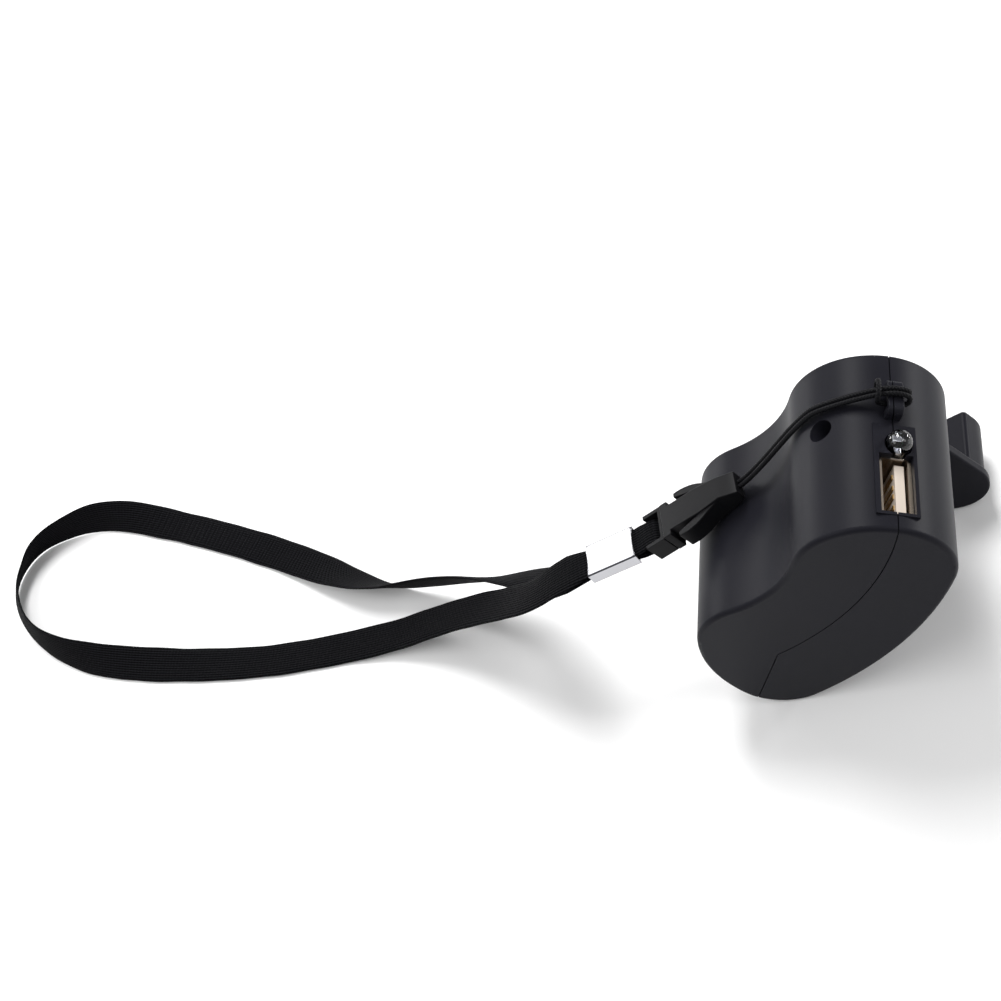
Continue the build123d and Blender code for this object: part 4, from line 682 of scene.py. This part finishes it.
def plaited_tube(name, line, along):
    """A closed tube with its plait as relief."""
    travel = unit(np.gradient(line, axis=0))
    side = unit(np.cross(travel[:1], [[0.0, 0.0, 1.0]]))[0]
    ring = np.arange(AROUND) * 2 * math.pi / AROUND
    rings = []
    for spot, way, done in zip(line, travel, along):
        side = side - way * np.dot(side, way)
        side = side / np.linalg.norm(side)
        rise = np.cross(way, side)
        wound = 2 * math.pi * done * RIDGES_EACH_WAY / LAY
        left = np.cos(RIDGES_EACH_WAY * ring + wound)
        right = np.cos(RIDGES_EACH_WAY * ring - wound)
        radius = CORD_D / 2 * (1 - YARN_DIP + YARN_DIP * np.maximum(left, right))
        out, up = np.cos(ring) * radius, np.sin(ring) * radius
        rings.append(spot + out[:, None] * side + up[:, None] * rise)
    return skinned(name, np.concatenate(rings), AROUND, cord_yarn)


hitched_cord = plaited_tube("hitched_cord", cord_line, cord_along)
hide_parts("lanyard_cord")
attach(hitched_cord, "root")
print("cord mesh", len(hitched_cord.data.polygons), "faces")

# %% [markdown]
# ## Tools for shaping by hand
# The next pieces are modelled as one would at the screen: add a primitive, push its faces about in
# edit mode, then let a modifier finish it.  These four helpers do the housekeeping.

# %% Housekeeping for edit mode and modifiers
def only(piece):
    bpy.ops.object.select_all(action="DESELECT")
    piece.select_set(True)
    bpy.context.view_layer.objects.active = piece


def pick_faces(piece, wanted):
    """Select in edit mode the faces for which wanted(face) is true."""
    only(piece)
    bpy.ops.object.mode_set(mode="EDIT")
    bpy.ops.mesh.select_mode(type="FACE")
    bpy.ops.mesh.select_all(action="DESELECT")
    bpy.ops.object.mode_set(mode="OBJECT")
    for face in piece.data.polygons:
        face.select = wanted(face)
    bpy.ops.object.mode_set(mode="EDIT")


def finish_with(piece, kind, **settings):
    """Add a modifier with these settings and apply it."""
    only(piece)
    modifier = piece.modifiers.new(kind.lower(), kind)
    for name, value in settings.items():
        setattr(modifier, name, value)
    bpy.ops.object.modifier_apply(modifier=modifier.name)


def settle(piece, place):
    """Move the piece into its frame and leave its object at the origin."""
    piece.data.transform(place @ piece.matrix_world)
    piece.matrix_world = Matrix.Identity(4)


print("hand tools are ready")

# %% [markdown]
# ## Eased copies of the buckle
# Moulded acetal has edges rounded to about a quarter of a millimetre, and they catch a thin bright
# line of light.  The buckle's halves get this from a copy of their own mesh: its loose triangles
# are merged, flat areas are made one face again, and a bevel eases what is sharp.  Weighted normals
# then keep the large faces flat up to their eased edges.

# %% Ease the edges of a copied part
MERGE_MM = 0.005
FLAT_WITHIN = math.radians(3)
SHARP_FROM = math.radians(35)


def eased_copy(node, name, width_mm, body):
    piece = bpy.data.objects.new(name, nodes[node].data.copy())
    bpy.context.scene.collection.objects.link(piece)
    only(piece)
    bpy.ops.object.mode_set(mode="EDIT")
    bpy.ops.mesh.select_all(action="SELECT")
    bpy.ops.mesh.remove_doubles(threshold=MERGE_MM * MM)
    bpy.ops.mesh.dissolve_limited(angle_limit=FLAT_WITHIN)
    bpy.ops.object.mode_set(mode="OBJECT")
    finish_with(piece, "BEVEL", width=width_mm * MM, segments=2, limit_method="ANGLE",
                angle_limit=SHARP_FROM, use_clamp_overlap=True, harden_normals=False)
    bpy.ops.object.shade_smooth_by_angle(angle=SHARP_FROM)
    finish_with(piece, "WEIGHTED_NORMAL", weight=100, keep_sharp=True)
    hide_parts(node)
    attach(piece, body)
    return piece


buckle_socket = eased_copy("release_socket", "buckle_socket", 0.2, "root")
buckle_plug = eased_copy("release_plug", "buckle_plug", 0.18, "strap")
print("buckle", len(buckle_socket.data.polygons), len(buckle_plug.data.polygons), "faces")

# %% [markdown]
# ## The polished crimp
# A strip of plated sheet is bent round the webbing and squeezed flat.  Its long edges are round
# and its mouths are slightly hollow, because the press bites deeper in the middle.  A cube loses
# its two ends and gets nine cuts each way, the middle of its faces and mouths is drawn in, a bevel
# rounds the bends and gives them a darker, rougher metal that paints a line of shade along them,
# Solidify gives the sheet its thickness, and a last fine bevel eases the rims.

# %% Crimp of bent sheet
CRIMP_X = (-17.0, -4.8)
CRIMP_SIZE = (8.7, 3.2)
SHEET_MM = 0.45
CUTS = 9
MOUTH_HOLLOW = 0.35 * MM
FACE_HOLLOW = 0.05
BEND_R = 0.5 * MM
RIM_EASE = 0.08 * MM


def bent_crimp():
    length = CRIMP_X[1] - CRIMP_X[0]
    bpy.ops.mesh.primitive_cube_add(size=MM)
    crimp = bpy.context.object
    crimp.name = "polished_crimp"
    crimp.data.materials.append(polished_nickel)
    crimp.data.materials.append(painted_shade_bend_nickel)
    crimp.data.transform(Matrix.Diagonal((length, CRIMP_SIZE[0], CRIMP_SIZE[1], 1)))
    pick_faces(crimp, lambda face: abs(face.normal.x) > 0.9)
    bpy.ops.mesh.delete(type="ONLY_FACE")
    bpy.ops.mesh.select_mode(type="EDGE")
    bpy.ops.mesh.select_all(action="SELECT")
    bpy.ops.mesh.subdivide(number_cuts=CUTS)
    bpy.ops.object.mode_set(mode="OBJECT")
    half_length, half_width = length / 2 * MM, CRIMP_SIZE[0] / 2 * MM
    for vertex in crimp.data.vertices:
        along, across = vertex.co.x / half_length, vertex.co.y / half_width
        hollow = 1 - across ** 2
        vertex.co.x -= MOUTH_HOLLOW * hollow * along ** 3
        vertex.co.z *= 1 - FACE_HOLLOW * hollow * (1 - along ** 2)
    # The bends take the second, darker metal, which paints a line of shade along them.
    finish_with(crimp, "BEVEL", width=BEND_R, segments=4, limit_method="ANGLE",
                angle_limit=math.radians(50), material=1)
    finish_with(crimp, "SOLIDIFY", thickness=SHEET_MM * MM, offset=-1.0)
    finish_with(crimp, "BEVEL", width=RIM_EASE, segments=2, limit_method="ANGLE",
                angle_limit=math.radians(50))
    bpy.ops.object.shade_smooth_by_angle(angle=math.radians(40))
    settle(crimp, CRIMP_FRAME @ Matrix.Translation(((CRIMP_X[0] + CRIMP_X[1]) / 2 * MM, 0, 0)))
    return crimp


polished_crimp = bent_crimp()
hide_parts("strap_crimp")
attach(polished_crimp, "strap")
print("crimp", len(polished_crimp.data.polygons), "faces")

# %% [markdown]
# ## Inside the lamp
# Two legs of tinned wire end in the lens: a tall anvil with a small dished cup, and a thinner post
# beside it.  They are what glints in the dark bead.

# %% Anvil, cup and post
PORT_AT = Vector((21.52, -30.5, 64.09)) * MM
PORT_OUT = Vector((0.5118, 0.0, 0.8591)).normalized()
PORT_FRAME = Matrix.Translation(PORT_AT) @ Matrix((
    (0, -PORT_OUT.z, PORT_OUT.x), (1, 0, 0), (0, PORT_OUT.x, PORT_OUT.z),
)).to_4x4()
LAMP_Y, LAMP_ACROSS, LAMP_RISE = 19.9, -1.0, 0.5
LEG_FOOT = 5.5
LEG_DEPTH = 0.9
CUP_RIM, CUP_DEPTH = 0.12 * MM, 0.3 * MM
LEG_EASE = 0.06 * MM


def lamp_leg(name, x, half_width, top, cup):
    bpy.ops.mesh.primitive_cube_add(size=MM, location=(0, 0, 0))
    leg = bpy.context.object
    leg.name = name
    leg.data.transform(Matrix.Translation((x * MM, 0, (top - LEG_FOOT) / 2 * MM))
                       @ Matrix.Diagonal((2 * half_width, LEG_DEPTH, top + LEG_FOOT, 1)))
    pick_faces(leg, lambda face: face.normal.z > 0.9)
    bpy.ops.mesh.inset(thickness=CUP_RIM)
    if cup:
        bpy.ops.mesh.extrude_region_move(TRANSFORM_OT_translate={"value": (0, 0, -CUP_DEPTH)})
    bpy.ops.object.mode_set(mode="OBJECT")
    finish_with(leg, "BEVEL", width=LEG_EASE, segments=2, limit_method="ANGLE",
                angle_limit=math.radians(40))
    bpy.ops.object.shade_smooth_by_angle(angle=math.radians(40))
    lamp_at = Vector((LAMP_Y, LAMP_ACROSS, LAMP_RISE)) * MM
    settle(leg, PORT_FRAME @ Matrix.Translation(lamp_at))
    leg.data.materials.append(polished_nickel)
    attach(leg, "root")
    return leg


lamp_anvil = lamp_leg("lamp_anvil", -0.75, 0.75, -0.9, True)
lamp_post = lamp_leg("lamp_post", 1.0, 0.3, -0.7, False)
print("lamp legs", lamp_anvil.name, lamp_post.name)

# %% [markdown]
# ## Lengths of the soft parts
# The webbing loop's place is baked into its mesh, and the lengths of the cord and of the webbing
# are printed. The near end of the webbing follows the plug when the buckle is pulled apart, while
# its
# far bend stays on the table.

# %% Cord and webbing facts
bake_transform(wrist_loop)
print("declared a cord of", round(cord_along[-1] / MM), "mm")
print("declared webbing of", round(web_along[-1] / MM), "mm")
